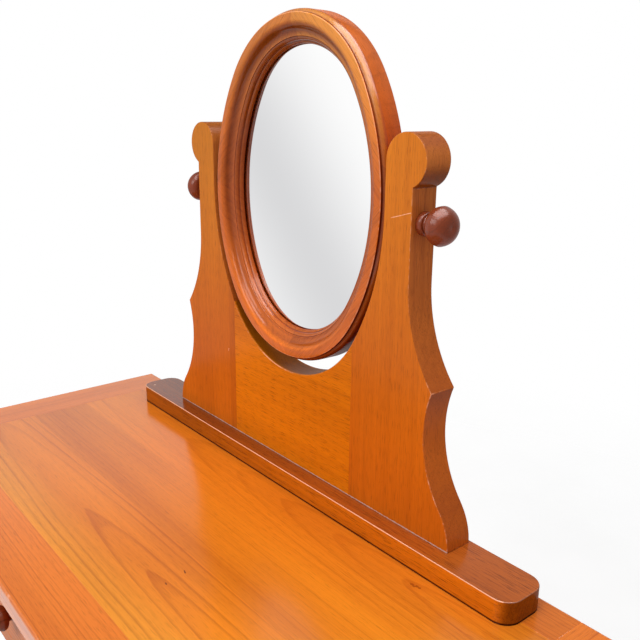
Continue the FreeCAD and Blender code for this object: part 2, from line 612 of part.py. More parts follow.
def knob_outline(kind, seat):
    """Corners and arcs of a collar, a neck and a round bun, from the sizes of one kind of knob."""
    collar = f"{seat} + Size.{kind}_collar_length"
    neck = f"{collar} + Size.{kind}_neck_length"
    rim = f"{neck} + Size.{kind}_underside"
    corners = (("0", seat), (f"Size.{kind}_collar_radius", seat), (f"Size.{kind}_collar_radius", collar),
               (f"Size.{kind}_neck_radius", collar), (f"Size.{kind}_neck_radius", neck),
               (f"Size.{kind}_radius", rim), ("0", f"{rim} + Size.{kind}_crown"))
    crown = f"(Size.{kind}_radius ^ 2 + Size.{kind}_crown ^ 2) / (2 * Size.{kind}_crown)"
    rounds = {4: Round(f"Size.{kind}_underside_round", COUNTERCLOCKWISE),
              5: Round(crown, COUNTERCLOCKWISE)}
    return corners, rounds


# Drawers: lapped fronts, walls with grooves for the bottom and the back

DRAWER_LOW = f"({RUNNER_TOP} + Size.slide_gap)"
DRAWER_HIGH = f"({KICKER_BOTTOM} - Size.drawer_top_gap)"
DRAWER_END = f"({BACK_INSIDE} - Size.drawer_back_room)"
FRONT_INSIDE = f"({RAIL_FRONT} + Size.front_thickness)"
LAP = f"({RAIL_FRONT} + Size.lap_thickness)"
BOTTOM_LOW = f"({DRAWER_LOW} + Size.bottom_inset)"
BOTTOM_HIGH = f"({BOTTOM_LOW} + Size.bottom_thickness)"
DRAWER_BACK = (f"{DRAWER_END} - Size.drawer_back_inset - Size.wall_thickness",
               f"{DRAWER_END} - Size.drawer_back_inset")
stops = []


def drawer(name, opening_left, opening_right, pull_places):
    """One drawer in its opening, with pulls at the given places along X."""
    left = f"({opening_left} + Size.drawer_side_gap)"
    right = f"({opening_right} - Size.drawer_side_gap)"
    inner_left = f"({left} + Size.wall_thickness)"
    inner_right = f"({right} - Size.wall_thickness)"
    groove_left = f"({inner_left} - Size.wall_groove)"
    groove_right = f"({inner_right} + Size.wall_groove)"
    middle = f"(({opening_left} + {opening_right}) / 2)"

    bottom = node(box(f"{name}_bottom", (groove_left, f"{FRONT_INSIDE} - Size.wall_groove", BOTTOM_LOW),
                      (groove_right, DRAWER_END, BOTTOM_HIGH)))
    back = node(box(f"{name}_back", (groove_left, DRAWER_BACK[0], BOTTOM_HIGH),
                    (groove_right, DRAWER_BACK[1], DRAWER_HIGH)))
    walls = []
    for side, outer, inner in (("left", left, inner_left), ("right", inner_right, right)):
        blank = box(f"{name}_{side}_blank", (outer, LAP, DRAWER_LOW), (inner, DRAWER_END, DRAWER_HIGH))
        walls.append(blank)
        node(cut(f"{name}_{side}_side", blank, [bottom, back]))

    knobs = []
    for index, across in enumerate(pull_places):
        bun = turned(f"{name}_pull_{index + 1}_bun", *knob_outline("pull", "0"))
        spigot = cylinder(f"{name}_pull_{index + 1}_spigot", "Size.pull_spigot_radius",
                          "Size.pull_spigot_length", ("0", "0", "-Size.pull_spigot_length"), Z_AXIS)
        knob = fuse(f"{name}_pull_{index + 1}", [bun, spigot])
        place(knob, (across.format(middle=middle), RAIL_FRONT, f"({DRAWER_LOW} + {DRAWER_HIGH}) / 2"),
              -Y_AXIS)
        knobs.append(knob)
    node(group(f"{name}_pulls", knobs))
    slab = box(f"{name}_slab", (left, RAIL_FRONT, DRAWER_LOW), (right, FRONT_INSIDE, DRAWER_HIGH))
    node(cut(f"{name}_front", slab, [fuse(f"{name}_front_sockets", walls + [bottom]), *knobs]))

    stops.append(box(f"{name}_stop", (f"{middle} - Size.stop_width / 2", f"{DRAWER_END} + Size.slide_gap",
                                      f"({DRAWER_LOW} + {DRAWER_HIGH} - Size.stop_height) / 2"),
                     (f"{middle} + Size.stop_width / 2", BACK_INSIDE,
                      f"({DRAWER_LOW} + {DRAWER_HIGH} + Size.stop_height) / 2")))


drawer("left_drawer", minus(WALL), minus(DIVIDER_OUTSIDE), ("{middle}",))
drawer("center_drawer", minus(DIVIDER_INSIDE), DIVIDER_INSIDE,
       ("{middle} - Size.pull_spread", "{middle} + Size.pull_spread"))
drawer("right_drawer", DIVIDER_OUTSIDE, WALL, ("{middle}",))
node(group("drawer_stops", stops))

# Ovals drawn from four centres: a curve at each end and one at each side

Oval = namedtuple("Oval", "end_radius side_radius end_center side_center angle")


def oval(width, height, tuck):
    """Radii, centres and the angle where end and side curves meet, from half sizes and the end's tuck."""
    end = f"({width} - {tuck})"
    side = f"((({height} - {end}) ^ 2 + {width} ^ 2 - {end} ^ 2) / (2 * ({width} - {end})))"
    end_center = f"({height} - {end})"
    side_center = f"({side} - {width})"
    return Oval(end, side, end_center, side_center, f"atan({side_center} / {end_center})")


def oval_board(name, shape, inset, thickness):
    """A board with an oval outline inside another, around its own middle."""
    across = f"({shape.end_radius} - ({inset})) * sin({shape.angle})"
    up = f"{shape.end_center} + ({shape.end_radius} - ({inset})) * cos({shape.angle})"
    corners = ((across, up), (minus(across), up), (minus(across), minus(up)), (across, minus(up)))
    end = Round(f"{shape.end_radius} - ({inset})", COUNTERCLOCKWISE)
    side = Round(f"{shape.side_radius} - ({inset})", COUNTERCLOCKWISE)
    return board(name, corners, {0: end, 1: side, 2: end, 3: side}, thickness)


# Stand: two shaped uprights and a centre panel, dowelled together and to the base board

cutout = oval(CUTOUT_SIDE, CUTOUT_HALF_HEIGHT, "Size.cutout_tuck")
SEAM = f"(({cutout.end_radius}) * sin({cutout.angle}))"
SEAM_TOP = (f"({CUTOUT_MIDDLE} - {cutout.end_center}"
            f" - {cutout.end_radius} * cos({cutout.angle}))")
FOOT = f"({CUTOUT_SIDE} + Size.foot_width)"
WAIST = f"({CUTOUT_SIDE} + Size.waist_width)"
NECK = f"({CUTOUT_SIDE} + Size.neck_width)"
CUSP_HEIGHT = "(Size.base_thickness + Size.cusp_rise)"
SHOULDER_HEIGHT = f"({PIVOT_HEIGHT} - Size.shoulder_drop)"
HEAD_HEIGHT = f"({PIVOT_HEIGHT} + Size.head_rise)"
FOOT_CENTER = f"({FOOT} - Size.foot_round)"
WAIST_INSET = f"({WAIST} - {FOOT_CENTER})"
WAIST_ROUND = (f"((Size.waist_rise ^ 2 + {WAIST_INSET} ^ 2 - Size.foot_round ^ 2)"
               f" / (2 * (Size.foot_round - {WAIST_INSET})))")
FOOT_SHARE = f"(Size.foot_round / (Size.foot_round + {WAIST_ROUND}))"
CUSP = (f"({WAIST} + {WAIST_ROUND}"
        f" - sqrt({WAIST_ROUND} ^ 2 - (Size.cusp_rise - Size.waist_rise) ^ 2))")
SWEEP_WIDTH = f"({CUSP} - {NECK})"
SWEEP_ROUND = (f"(({SWEEP_WIDTH} ^ 2 + ({SHOULDER_HEIGHT} - {CUSP_HEIGHT}) ^ 2)"
               f" / (2 * {SWEEP_WIDTH}))")
HEAD_CENTER = f"({CUTOUT_SIDE} + Size.head_radius)"
NOTCH = f"({HEAD_HEIGHT} - sqrt(Size.head_radius ^ 2 - ({NECK} - {HEAD_CENTER}) ^ 2))"

UPRIGHT_OUTLINE = (
    (SEAM, "Size.base_thickness"),
    (FOOT, "Size.base_thickness"),
    (f"{FOOT_CENTER} + ({WAIST_INSET} + {WAIST_ROUND}) * {FOOT_SHARE}",
     f"Size.base_thickness + Size.waist_rise * {FOOT_SHARE}"),
    (CUSP, CUSP_HEIGHT),
    (NECK, SHOULDER_HEIGHT),
    (NECK, NOTCH),
    (CUTOUT_SIDE, HEAD_HEIGHT),
    (CUTOUT_SIDE, CUTOUT_MIDDLE),
    (SEAM, SEAM_TOP))
UPRIGHT_ROUNDS = {
    1: Round("Size.foot_round", COUNTERCLOCKWISE),
    2: Round(WAIST_ROUND, CLOCKWISE),
    3: Round(SWEEP_ROUND, CLOCKWISE),
    5: Round("Size.head_radius", COUNTERCLOCKWISE, long_way=True),
    7: Round(cutout.side_radius, CLOCKWISE)}
PANEL_OUTLINE = ((minus(SEAM), "Size.base_thickness"), (SEAM, "Size.base_thickness"),
                 (SEAM, SEAM_TOP), (minus(SEAM), SEAM_TOP))
PANEL_ROUNDS = {2: Round(cutout.end_radius, CLOCKWISE)}

dowels = []
dowel_holes = []


def dowel(start, low, high, direction):
    """A dowel and the hole that leaves room past both its ends."""
    label = f"dowel_{len(dowels) + 1}"
    peg_start = [str(part) for part in start]
    hole_start = [str(part) for part in start]
    axis = [abs(part) for part in direction].index(1)
    peg_start[axis] = f"{start[axis]} - ({low})"
    hole_start[axis] = f"{start[axis]} - ({low}) - Size.glue_gap"
    dowels.append(cylinder(label, "Size.dowel_radius", f"{low} + {high}", peg_start, direction))
    dowel_holes.append(cylinder(f"{label}_hole", "Size.dowel_radius",
                                f"{low} + {high} + 2 * Size.glue_gap", hole_start, direction))


BASE_TOP = f"({TOP} + Size.base_thickness)"
for side in ("-", ""):
    for step in (2, 1, 0):
        across = f"{side}({FOOT} - Size.foot_dowel_inset - {step} * Size.foot_dowel_pitch)"
        dowel((across, STAND_MIDDLE, BASE_TOP),
              "Size.dowel_base_depth", "Size.dowel_board_depth", Z_AXIS)
    dowel((f"{side}Size.panel_dowel_spread", STAND_MIDDLE, BASE_TOP),
          "Size.dowel_base_depth", "Size.dowel_board_depth", Z_AXIS)
    for level in (f"{BASE_TOP} + Size.seam_dowel_low", f"{TOP} + {CUTOUT_BOTTOM} + Size.seam_dowel_high"):
        dowel((f"{side}{SEAM}", STAND_MIDDLE, level),
              "Size.dowel_board_depth", "Size.dowel_board_depth", X_AXIS)
node(group("stand_dowels", dowels))

base_corner = "Size.base_corner_radius"
base_end = "Size.base_length / 2"
base_half_depth = f"({BASE_BACK} - {BASE_FRONT}) / 2"
base_corners = []
base_rounds = {}
for across, along, corner_first in ((1, -1, False), (1, 1, True), (-1, 1, False), (-1, -1, True)):
    end_point = (f"{across} * {base_end}", f"{along} * ({base_half_depth} - {base_corner})")
    edge_point = (f"{across} * ({base_end} - {base_corner})", f"{along} * {base_half_depth}")
    base_rounds[len(base_corners)] = Round(base_corner, COUNTERCLOCKWISE)
    base_corners += [end_point, edge_point] if corner_first else [edge_point, end_point]
base_board = board("stand_base_board", base_corners, base_rounds, "Size.base_thickness", "XY_Plane")
place(base_board, ("0", f"({BASE_FRONT} + {BASE_BACK}) / 2", TOP))
node(cut("stand_base", base_board, [group("stand_base_holes", dowel_holes + stand_screws)]))

PIVOT_POINT = ("0", STAND_MIDDLE, PIVOT)
BUSH_START = "Size.frame_half_width + Size.bush_flange_gap"
FLANGE_END = f"{CUTOUT_SIDE} - Size.bush_seat_gap"
bush_sleeve = cylinder("right_bush_sleeve", "Size.bush_radius", f"{NECK} - ({BUSH_START})",
                       (BUSH_START, STAND_MIDDLE, PIVOT), X_AXIS)
bush_flange = cylinder("right_bush_flange", "Size.bush_flange_radius", f"{FLANGE_END} - ({BUSH_START})",
                       (BUSH_START, STAND_MIDDLE, PIVOT), X_AXIS)
bush_bore = cylinder("right_bush_bore", "Size.stud_radius + Size.running_gap", NECK,
                     (BUSH_START, STAND_MIDDLE, PIVOT), X_AXIS)
bush_blank = fuse("right_bush_blank", [bush_sleeve, bush_flange])
right_bush = cut("right_bush", bush_blank, [bush_bore])
node(group("pivot_bushes", [right_bush, mirrored("left_bush", right_bush)]))

upright_blank = board("right_upright_board", UPRIGHT_OUTLINE, UPRIGHT_ROUNDS, "Size.upright_thickness")
place(upright_blank, ("0", STAND_FRONT, TOP))
right_upright = node(cut("stand_right_upright", upright_blank, dowel_holes + [bush_blank]))
node(mirrored("stand_left_upright", right_upright))
panel_blank = board("center_panel_board", PANEL_OUTLINE, PANEL_ROUNDS, "Size.upright_thickness")
place(panel_blank, ("0", STAND_FRONT, TOP))
node(cut("stand_center_panel", panel_blank, dowel_holes))

# Pivots: each knob is fixed on a stud that runs in the bush and ends in the frame's insert

KNOB_SEAT = f"{NECK} + Size.slide_gap"
STUD_START = "Size.frame_half_width - Size.stud_reach"
right_stud = cylinder("right_pivot_stud", "Size.stud_radius",
                      f"{KNOB_SEAT} + Size.stud_grip - ({STUD_START})",
                      (STUD_START, STAND_MIDDLE, PIVOT), X_AXIS)
knob_blank = turned("right_knob_bun", *knob_outline("knob", "0"))
place(knob_blank, (KNOB_SEAT, STAND_MIDDLE, PIVOT), X_AXIS)
right_knob = node(cut("right_knob", knob_blank, [right_stud]))
node(mirrored("left_knob", right_knob))
node(mirrored("left_pivot_stud", node(right_stud)))

# Mirror, modelled about the tilt axis and then leaned back with it

frame_oval = oval("Size.frame_half_width", "Size.frame_half_height", "Size.frame_tuck")
GLASS_EDGE = "(Size.frame_width - Size.glass_lap)"
BOARD_EDGE = f"({GLASS_EDGE} - Size.board_lap)"
GLASS_BACK = "(Size.glass_setback + Size.glass_thickness + Size.glass_gap)"
AXIS_DEPTH = "Size.frame_depth / 2"
BAND_END = "(Size.frame_shoulder_width + Size.frame_band_width)"
WALL_TOP = f"({BAND_END} + Size.frame_band_curve)"
WALL_FOOT = f"({WALL_TOP} + Size.frame_wall_slant)"
SECTION = (
    ("0", "Size.frame_depth"),
    ("0", "Size.frame_shoulder_depth"),
    ("Size.frame_shoulder_width", "Size.frame_band_step"),
    ("Size.frame_shoulder_width", "0"),
    (BAND_END, "0"),
    (WALL_TOP, "Size.frame_band_fall"),
    (WALL_FOOT, "Size.frame_wall_depth"),
    (f"{WALL_FOOT} + Size.frame_bead_width", "Size.frame_wall_depth + Size.frame_bead_drop"),
    ("Size.frame_width", "Size.glass_setback - Size.frame_lip"),
    ("Size.frame_width", "Size.glass_setback"),
    (GLASS_EDGE, "Size.glass_setback"),
    (GLASS_EDGE, GLASS_BACK),
    (BOARD_EDGE, GLASS_BACK),
    (BOARD_EDGE, "Size.frame_depth"))
SECTION_ROUNDS = {1: ("Size.frame_shoulder_round", COUNTERCLOCKWISE),
                  4: ("Size.frame_band_round", COUNTERCLOCKWISE),
                  5: ("Size.frame_wall_round", CLOCKWISE),
                  6: ("Size.frame_bead_round", COUNTERCLOCKWISE),
                  7: ("Size.frame_slope_round", COUNTERCLOCKWISE)}


def leaned(piece, offset=("0", "0", "0")):
    """Put a piece of the mirror at an offset from the tilt axis, leaning back about that axis."""
    across, depth, up = offset
    lean = FreeCAD.Rotation(X_AXIS, -number("Size.mirror_lean"))
    piece.Placement = FreeCAD.Placement(Vector(), lean)
    place(piece, (across,
                  f"{STAND_MIDDLE} + ({depth}) * cos(Size.mirror_lean) + ({up}) * sin(Size.mirror_lean)",
                  f"{PIVOT} + ({up}) * cos(Size.mirror_lean) - ({depth}) * sin(Size.mirror_lean)"))
    piece.setExpression("Placement.Rotation.Angle", "-Size.mirror_lean")
    return node(piece)


end_corners = [(f"{depth} - {AXIS_DEPTH}", f"{frame_oval.end_radius} - ({inward})")
               for inward, depth in SECTION]
end_rounds = {index: Round(radius, turn) for index, (radius, turn) in SECTION_ROUNDS.items()}
end_curve = turned("frame_end_curve", end_corners, end_rounds, "YZ_Plane", "H_Axis", frame_oval.angle)
place(end_curve, ("0", "0", f"Size.mirror_rise + {frame_oval.end_center}"))
side_corners = [(f"{frame_oval.side_radius} - ({inward})", f"{depth} - {AXIS_DEPTH}")
                for inward, depth in SECTION]
side_rounds = {index: Round(radius, -turn) for index, (radius, turn) in SECTION_ROUNDS.items()}
side_curve = turned("frame_side_curve", side_corners, side_rounds, "XY_Plane", "V_Axis",
                    f"90 deg - {frame_oval.angle}", backward=True)
place(side_curve, (minus(frame_oval.side_center), "0", "Size.mirror_rise"))
upper_quarter = fuse("frame_upper_quarter", [end_curve, side_curve])
lower_quarter = mirrored("frame_lower_quarter", upper_quarter, Z_AXIS, "Size.mirror_rise")

INSERT_START = ("Size.frame_half_width - Size.insert_recess - Size.insert_length", "0", "0")
insert_blank = cylinder("right_insert_blank", "Size.insert_radius", "Size.insert_length",
                        INSERT_START, X_AXIS)
insert_bore = cylinder("right_insert_bore", "Size.stud_radius + Size.running_gap", "Size.insert_length",
                       INSERT_START, X_AXIS)
insert_pocket = cylinder("right_insert_pocket", "Size.insert_radius",
                         "Size.insert_length + Size.insert_recess", INSERT_START, X_AXIS)
right_insert = cut("right_insert", insert_blank, [insert_bore])
leaned(group("mirror_pivot_inserts", [right_insert, mirrored("left_insert", right_insert)]))

SCREW_LINE = f"(({GLASS_EDGE} + {BOARD_EDGE}) / 2)"
BOARD_BACK = f"{GLASS_BACK} + Size.board_thickness - {AXIS_DEPTH}"
END_SCREW = f"({frame_oval.end_radius} - {SCREW_LINE})"
SIDE_SCREW = f"({frame_oval.side_radius} - {SCREW_LINE})"
SCREW_PLACES = (
    (f"{END_SCREW} * sin(Size.back_screw_end_angle)",
     f"Size.mirror_rise + {frame_oval.end_center} + {END_SCREW} * cos(Size.back_screw_end_angle)"),
    (f"{SIDE_SCREW} * cos(Size.back_screw_side_angle) - {frame_oval.side_center}",
     f"Size.mirror_rise + {SIDE_SCREW} * sin(Size.back_screw_side_angle)"))
upper_screws = [countersunk(f"back_screw_{index}", "Size.back_screw_radius", "Size.back_screw_head",
                            "Size.back_screw_length", (across, BOARD_BACK, up), -Y_AXIS)
                for index, (across, up) in enumerate(SCREW_PLACES, start=1)]
lower_screws = [mirrored(f"{screw.Name}_low", screw, Z_AXIS, "Size.mirror_rise") for screw in upper_screws]
right_screws = upper_screws + lower_screws
back_screws = right_screws + [mirrored(f"{screw.Name}_left", screw) for screw in right_screws]
leaned(group("mirror_back_screws", back_screws))

top_right = leaned(cut("mirror_frame_top_right", upper_quarter, upper_screws))
bottom_right = leaned(cut("mirror_frame_bottom_right", lower_quarter, lower_screws + [insert_pocket]))
node(mirrored("mirror_frame_top_left", top_right))
node(mirrored("mirror_frame_bottom_left", bottom_right))

glass = oval_board("mirror_glass", frame_oval, f"{GLASS_EDGE} + Size.glass_gap", "Size.glass_thickness")
leaned(glass, ("0", f"Size.glass_setback - {AXIS_DEPTH}", "Size.mirror_rise"))
back_blank = oval_board("mirror_backboard_blank", frame_oval, f"{BOARD_EDGE} + Size.glass_gap",
                        "Size.board_thickness")
place(back_blank, ("0", f"{GLASS_BACK} - {AXIS_DEPTH}", "Size.mirror_rise"))
leaned(cut("mirror_backboard", back_blank, back_screws))

# Every feature must have been made, and every piece must be a sound solid, before the files are written

doc.recompute()
failed = [item.Name for item in doc.Objects if {"Invalid", "Error"} & set(item.State)]
unsound = [piece.Name for piece in nodes
           if piece.Shape.isNull() or not piece.Shape.isValid() or not piece.Shape.Solids]
if failed or unsound:
    raise RuntimeError(f"failed features: {failed}, unsound pieces: {unsound}")
os.makedirs("parts", exist_ok=True)
for piece in nodes:
    piece.Shape.exportStep(f"parts/{piece.Label}.step")
    print(piece.Label, len(piece.Shape.Solids), round(piece.Shape.Volume))
print(len(nodes), "sub-parts")
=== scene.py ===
"""Dressing table with an oval mirror: timber, mouldings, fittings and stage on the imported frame."""
import json
import math
from collections import namedtuple

import bmesh
import bpy
from bpy.props import FloatProperty, FloatVectorProperty, IntProperty, PointerProperty
from mathutils import Matrix, Vector


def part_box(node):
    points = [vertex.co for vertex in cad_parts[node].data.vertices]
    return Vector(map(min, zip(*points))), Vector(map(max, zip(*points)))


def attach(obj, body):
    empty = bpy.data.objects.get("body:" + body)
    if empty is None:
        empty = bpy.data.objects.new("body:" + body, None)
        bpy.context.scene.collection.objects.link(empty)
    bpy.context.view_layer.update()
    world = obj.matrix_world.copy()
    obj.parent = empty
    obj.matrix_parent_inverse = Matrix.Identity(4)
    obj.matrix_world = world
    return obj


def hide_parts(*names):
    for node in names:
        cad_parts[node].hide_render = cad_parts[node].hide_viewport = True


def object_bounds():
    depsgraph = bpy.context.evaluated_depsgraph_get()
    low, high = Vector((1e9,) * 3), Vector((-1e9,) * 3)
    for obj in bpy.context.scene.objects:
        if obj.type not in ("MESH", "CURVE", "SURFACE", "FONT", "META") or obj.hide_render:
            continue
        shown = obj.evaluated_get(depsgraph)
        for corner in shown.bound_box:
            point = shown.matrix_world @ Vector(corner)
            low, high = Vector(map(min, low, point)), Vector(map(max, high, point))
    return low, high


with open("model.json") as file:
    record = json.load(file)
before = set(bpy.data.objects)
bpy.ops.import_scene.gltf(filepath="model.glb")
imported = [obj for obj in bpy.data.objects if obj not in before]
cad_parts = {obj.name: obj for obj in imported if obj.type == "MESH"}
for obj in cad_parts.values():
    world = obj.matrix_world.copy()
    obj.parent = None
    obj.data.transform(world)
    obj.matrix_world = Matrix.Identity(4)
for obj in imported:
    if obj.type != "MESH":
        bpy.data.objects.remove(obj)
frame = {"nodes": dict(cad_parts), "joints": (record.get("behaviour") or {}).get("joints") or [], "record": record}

bl_info = {
    "name": "Dressing Table",
    "version": (1, 0, 0),
    "blender": (4, 5, 0),
    "location": "3D View > Sidebar > Dressing Table",
    "description": "Finishes a dressing table with a tilting oval mirror",
    "category": "Object",
}

CAD_LOW, CAD_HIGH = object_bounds()
PIVOT = Vector(next(joint for joint in frame["joints"] if joint["name"] == "mirror_tilt")["pos_m"])
BODIES = {node: body for body, nodes in frame["record"]["behaviour"]["bodies"].items() for node in nodes}
TOP_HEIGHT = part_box("top_panel")[1].z
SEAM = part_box("stand_center_panel")[1].x
# Metres within which two points, or a point and a face, count as one
SAME_POINT, SAME_FACE = 1e-6, 1e-4


# Sizes and colours

def length(name, default, description):
    """A length in metres."""
    return FloatProperty(name=name, description=description, default=default, min=0.0, precision=4,
                         subtype="DISTANCE", unit="LENGTH")


def angle(name, degrees, description):
    """An angle, given in degrees."""
    return FloatProperty(name=name, description=description, default=math.radians(degrees), subtype="ANGLE",
                         unit="ROTATION")


def power(name, default, description):
    """The power of a lamp in watts."""
    return FloatProperty(name=name, description=description, default=default, min=0.0, subtype="POWER",
                         unit="POWER")


def tint(name, default, description):
    """A colour of a finish."""
    return FloatVectorProperty(name=name, description=description, default=default, size=3, min=0.0, max=1.0,
                               subtype="COLOR")


class EdgeSizes(bpy.types.PropertyGroup):
    """How far the arrises of the boards are eased."""
    top: length("Table top", 0.0028, "Outer arrises of the table top")
    stand: length("Stand", 0.0009, "Arrises of the uprights and the centre panel")
    base: length("Base board", 0.0008, "Arrises of the base board")
    legs: length("Legs", 0.0018, "Arrises of the leg blocks and turnings")
    boards: length("Boards", 0.0009, "Arrises of rails, sides and drawer parts")
    joints: length("Joints", 0.0002, "Arrises where two boards are glued flush")


class MirrorSizes(bpy.types.PropertyGroup):
    """The moulded oval of the mirror."""
    half_width: length("Half width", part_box("mirror_frame_top_right")[1].x, "Outer edge, from the middle")
    half_height: length("Half height", 0.217, "Outer edge, from the middle")
    tuck: length("Tuck", 0.019, "End curves, radius under the half width")
    rise: length("Rise", 0.0125, "Middle of the mirror over the tilt axis")
    depth: length("Depth", 0.035, "Frame, front to back")
    lean: angle("Lean", 1.0, "Mirror leaning back at rest")
    steps: IntProperty(name="Steps", description="Steps along each quarter of the oval", default=112, min=8)


TIMBERS = {
    "field": ("Middle of the table top", (0.88, 0.245, 0.012), (0.48, 0.092, 0.005)),
    "band": ("Bands around the table top", (0.88, 0.225, 0.022), (0.47, 0.085, 0.008)),
    "upright": ("Uprights of the stand", (0.71, 0.165, 0.006), (0.36, 0.066, 0.003)),
    "panel": ("Centre panel of the stand", (0.79, 0.212, 0.003), (0.42, 0.088, 0.002)),
    "base": ("Base board of the stand", (0.63, 0.155, 0.004), (0.21, 0.040, 0.002)),
    "frame": ("Mirror frame", (0.68, 0.152, 0.012), (0.30, 0.052, 0.004)),
    "carcass": ("Legs, sides, rails and drawer fronts", (0.72, 0.18, 0.015), (0.38, 0.07, 0.005)),
    "knob": ("Turned knobs and pulls", (0.27, 0.048, 0.013), (0.09, 0.015, 0.004)),
    "lining": ("Bare wood inside the drawers", (0.72, 0.52, 0.31), (0.50, 0.31, 0.15))}


class TimberColours(bpy.types.PropertyGroup):
    """Pale and deep tones of each timber, and of the bare wood at worn arrises."""
    worn: tint("Worn arrises", (0.95, 0.48, 0.29), "Wood that shows where the stain has rubbed off")


for kind, (where, pale, deep) in TIMBERS.items():
    for tone, colour in (("pale", pale), ("deep", deep)):
        TimberColours.__annotations__[f"{kind}_{tone}"] = tint(f"{kind.capitalize()}, {tone}", colour, where)


class StageSettings(bpy.types.PropertyGroup):
    """Camera, light and floor."""
    camera_place: FloatVectorProperty(name="Camera", description="Where the camera stands", size=3,
                                      default=(0.7668, -0.4060, 1.2503), subtype="TRANSLATION", unit="LENGTH")
    yaw: angle("Yaw", 50.54, "Camera turned left of straight on")
    pitch: angle("Pitch", -15.84, "Camera tipped up")
    roll: angle("Roll", 0.68, "Camera rolled")
    lens: FloatProperty(name="Lens", description="Focal length on a 36 mm sensor", default=42.77,
                        subtype="DISTANCE_CAMERA", unit="CAMERA")
    ambient: FloatProperty(name="Ambient", description="Light from all round", default=0.50, min=0.0)
    key: power("Key light", 34.0, "Large lamp in front")
    sheen: power("Sheen light", 90.0, "Broad lamp that shows in the lacquer only")
    overhead: power("Overhead light", 12.0, "Lamp above")
    floor_radius: length("Floor", 3.0, "Radius of the floor")


# Node trees

TREE_COLUMNS, COLUMN_WIDTH, ROW_HEIGHT = 12, 190, 300


class Reading:
    """An output of a node, with sums of it written as sums."""

    def __init__(self, graph, socket):
        self.graph = graph
        self.socket = socket

    def __add__(self, other):
        return self.graph.math("ADD", self, other)

    def __sub__(self, other):
        return self.graph.math("SUBTRACT", self, other)

    def __rsub__(self, other):
        return self.graph.math("SUBTRACT", other, self)

    def __mul__(self, other):
        return self.graph.math("MULTIPLY", self, other)

    def __truediv__(self, other):
        return self.graph.math("DIVIDE", self, other)


class Graph:
    """A node tree, with short calls for the nodes that the finishes and mouldings use."""

    def __init__(self, tree):
        self.tree = tree

    def node(self, kind, inputs=None, **settings):
        """A new node with its settings, its inputs fed by number or name."""
        made = self.tree.nodes.new(kind)
        row, column = divmod(len(self.tree.nodes), TREE_COLUMNS)
        made.location = (column * COLUMN_WIDTH, -row * ROW_HEIGHT)
        for name, value in settings.items():
            setattr(made, name, value)
        for key, value in (inputs or {}).items():
            self.feed(made.inputs[key], value)
        return made

    def feed(self, socket, value):
        """Link a socket, or set its own value."""
        if isinstance(value, Reading):
            self.tree.links.new(value.socket, socket)
        elif value is not None:
            socket.default_value = value

    def call(self, kind, inputs=None, output=0, **settings):
        """One output of a new node."""
        return Reading(self, self.node(kind, inputs, **settings).outputs[output])

    def outputs(self, kind, inputs=None, **settings):
        """Every output of a new node, by name."""
        return {socket.name: Reading(self, socket) for socket in self.node(kind, inputs, **settings).outputs}

    def math(self, operation, first, second=None):
        """A sum of one or two values."""
        return self.call("ShaderNodeMath", {0: first, 1: second}, operation=operation)

    def vector(self, operation, first, second=None, output="Vector"):
        """A sum of one or two vectors."""
        return self.call("ShaderNodeVectorMath", {0: first, 1: second}, output, operation=operation)

    def scaled(self, vector, factor):
        """A vector or a colour, made larger or smaller."""
        return self.call("ShaderNodeVectorMath", {0: vector, "Scale": factor}, operation="SCALE")

    def split(self, vector):
        """The three parts of a vector."""
        return list(self.outputs("ShaderNodeSeparateXYZ", {0: vector}).values())

    def joined(self, across, depth, up):
        """A vector from its three parts."""
        return self.call("ShaderNodeCombineXYZ", {0: across, 1: depth, 2: up})

    def ramp(self, value, low, high, start=0.0, end=1.0):
        """A smooth step of a value between two limits."""
        return self.call("ShaderNodeMapRange", {"Value": value, "From Min": low, "From Max": high,
                                                "To Min": start, "To Max": end},
                         interpolation_type="SMOOTHSTEP")

    def noise(self, vector, stretch, detail=2.0):
        """Noise stretched along the three axes, about 0 to 1."""
        place = self.vector("MULTIPLY", vector, stretch)
        return self.call("ShaderNodeTexNoise", {"Vector": place, "Scale": 1.0, "Detail": detail}, "Fac")

    def blend(self, share, first, second, kind="MIX"):
        """One colour blended into another."""
        return self.call("ShaderNodeMix", {0: share, 6: first, 7: second}, 2, data_type="RGBA",
                         blend_type=kind, clamp_factor=True)


def sockets(**kinds):
    """Each socket's kind by its name, from the names of each kind."""
    return {name: kind for kind, names in kinds.items() for name in names.split(", ")}


def new_group(name, inputs, outputs, kind="ShaderNodeTree"):
    """An empty node group with named sockets; gives its graph, its inputs and its output node."""
    tree = bpy.data.node_groups.new(name, kind)
    for direction, table in (("INPUT", inputs), ("OUTPUT", outputs)):
        for label, socket in table.items():
            tree.interface.new_socket(name=label, in_out=direction, socket_type=f"NodeSocket{socket}")
    graph = Graph(tree)
    return graph, graph.outputs("NodeGroupInput"), graph.node("NodeGroupOutput")


def close_group(graph, last, results):
    """Feed the outputs of a group."""
    for label, value in results.items():
        graph.feed(last.inputs[label], value)
    return graph.tree


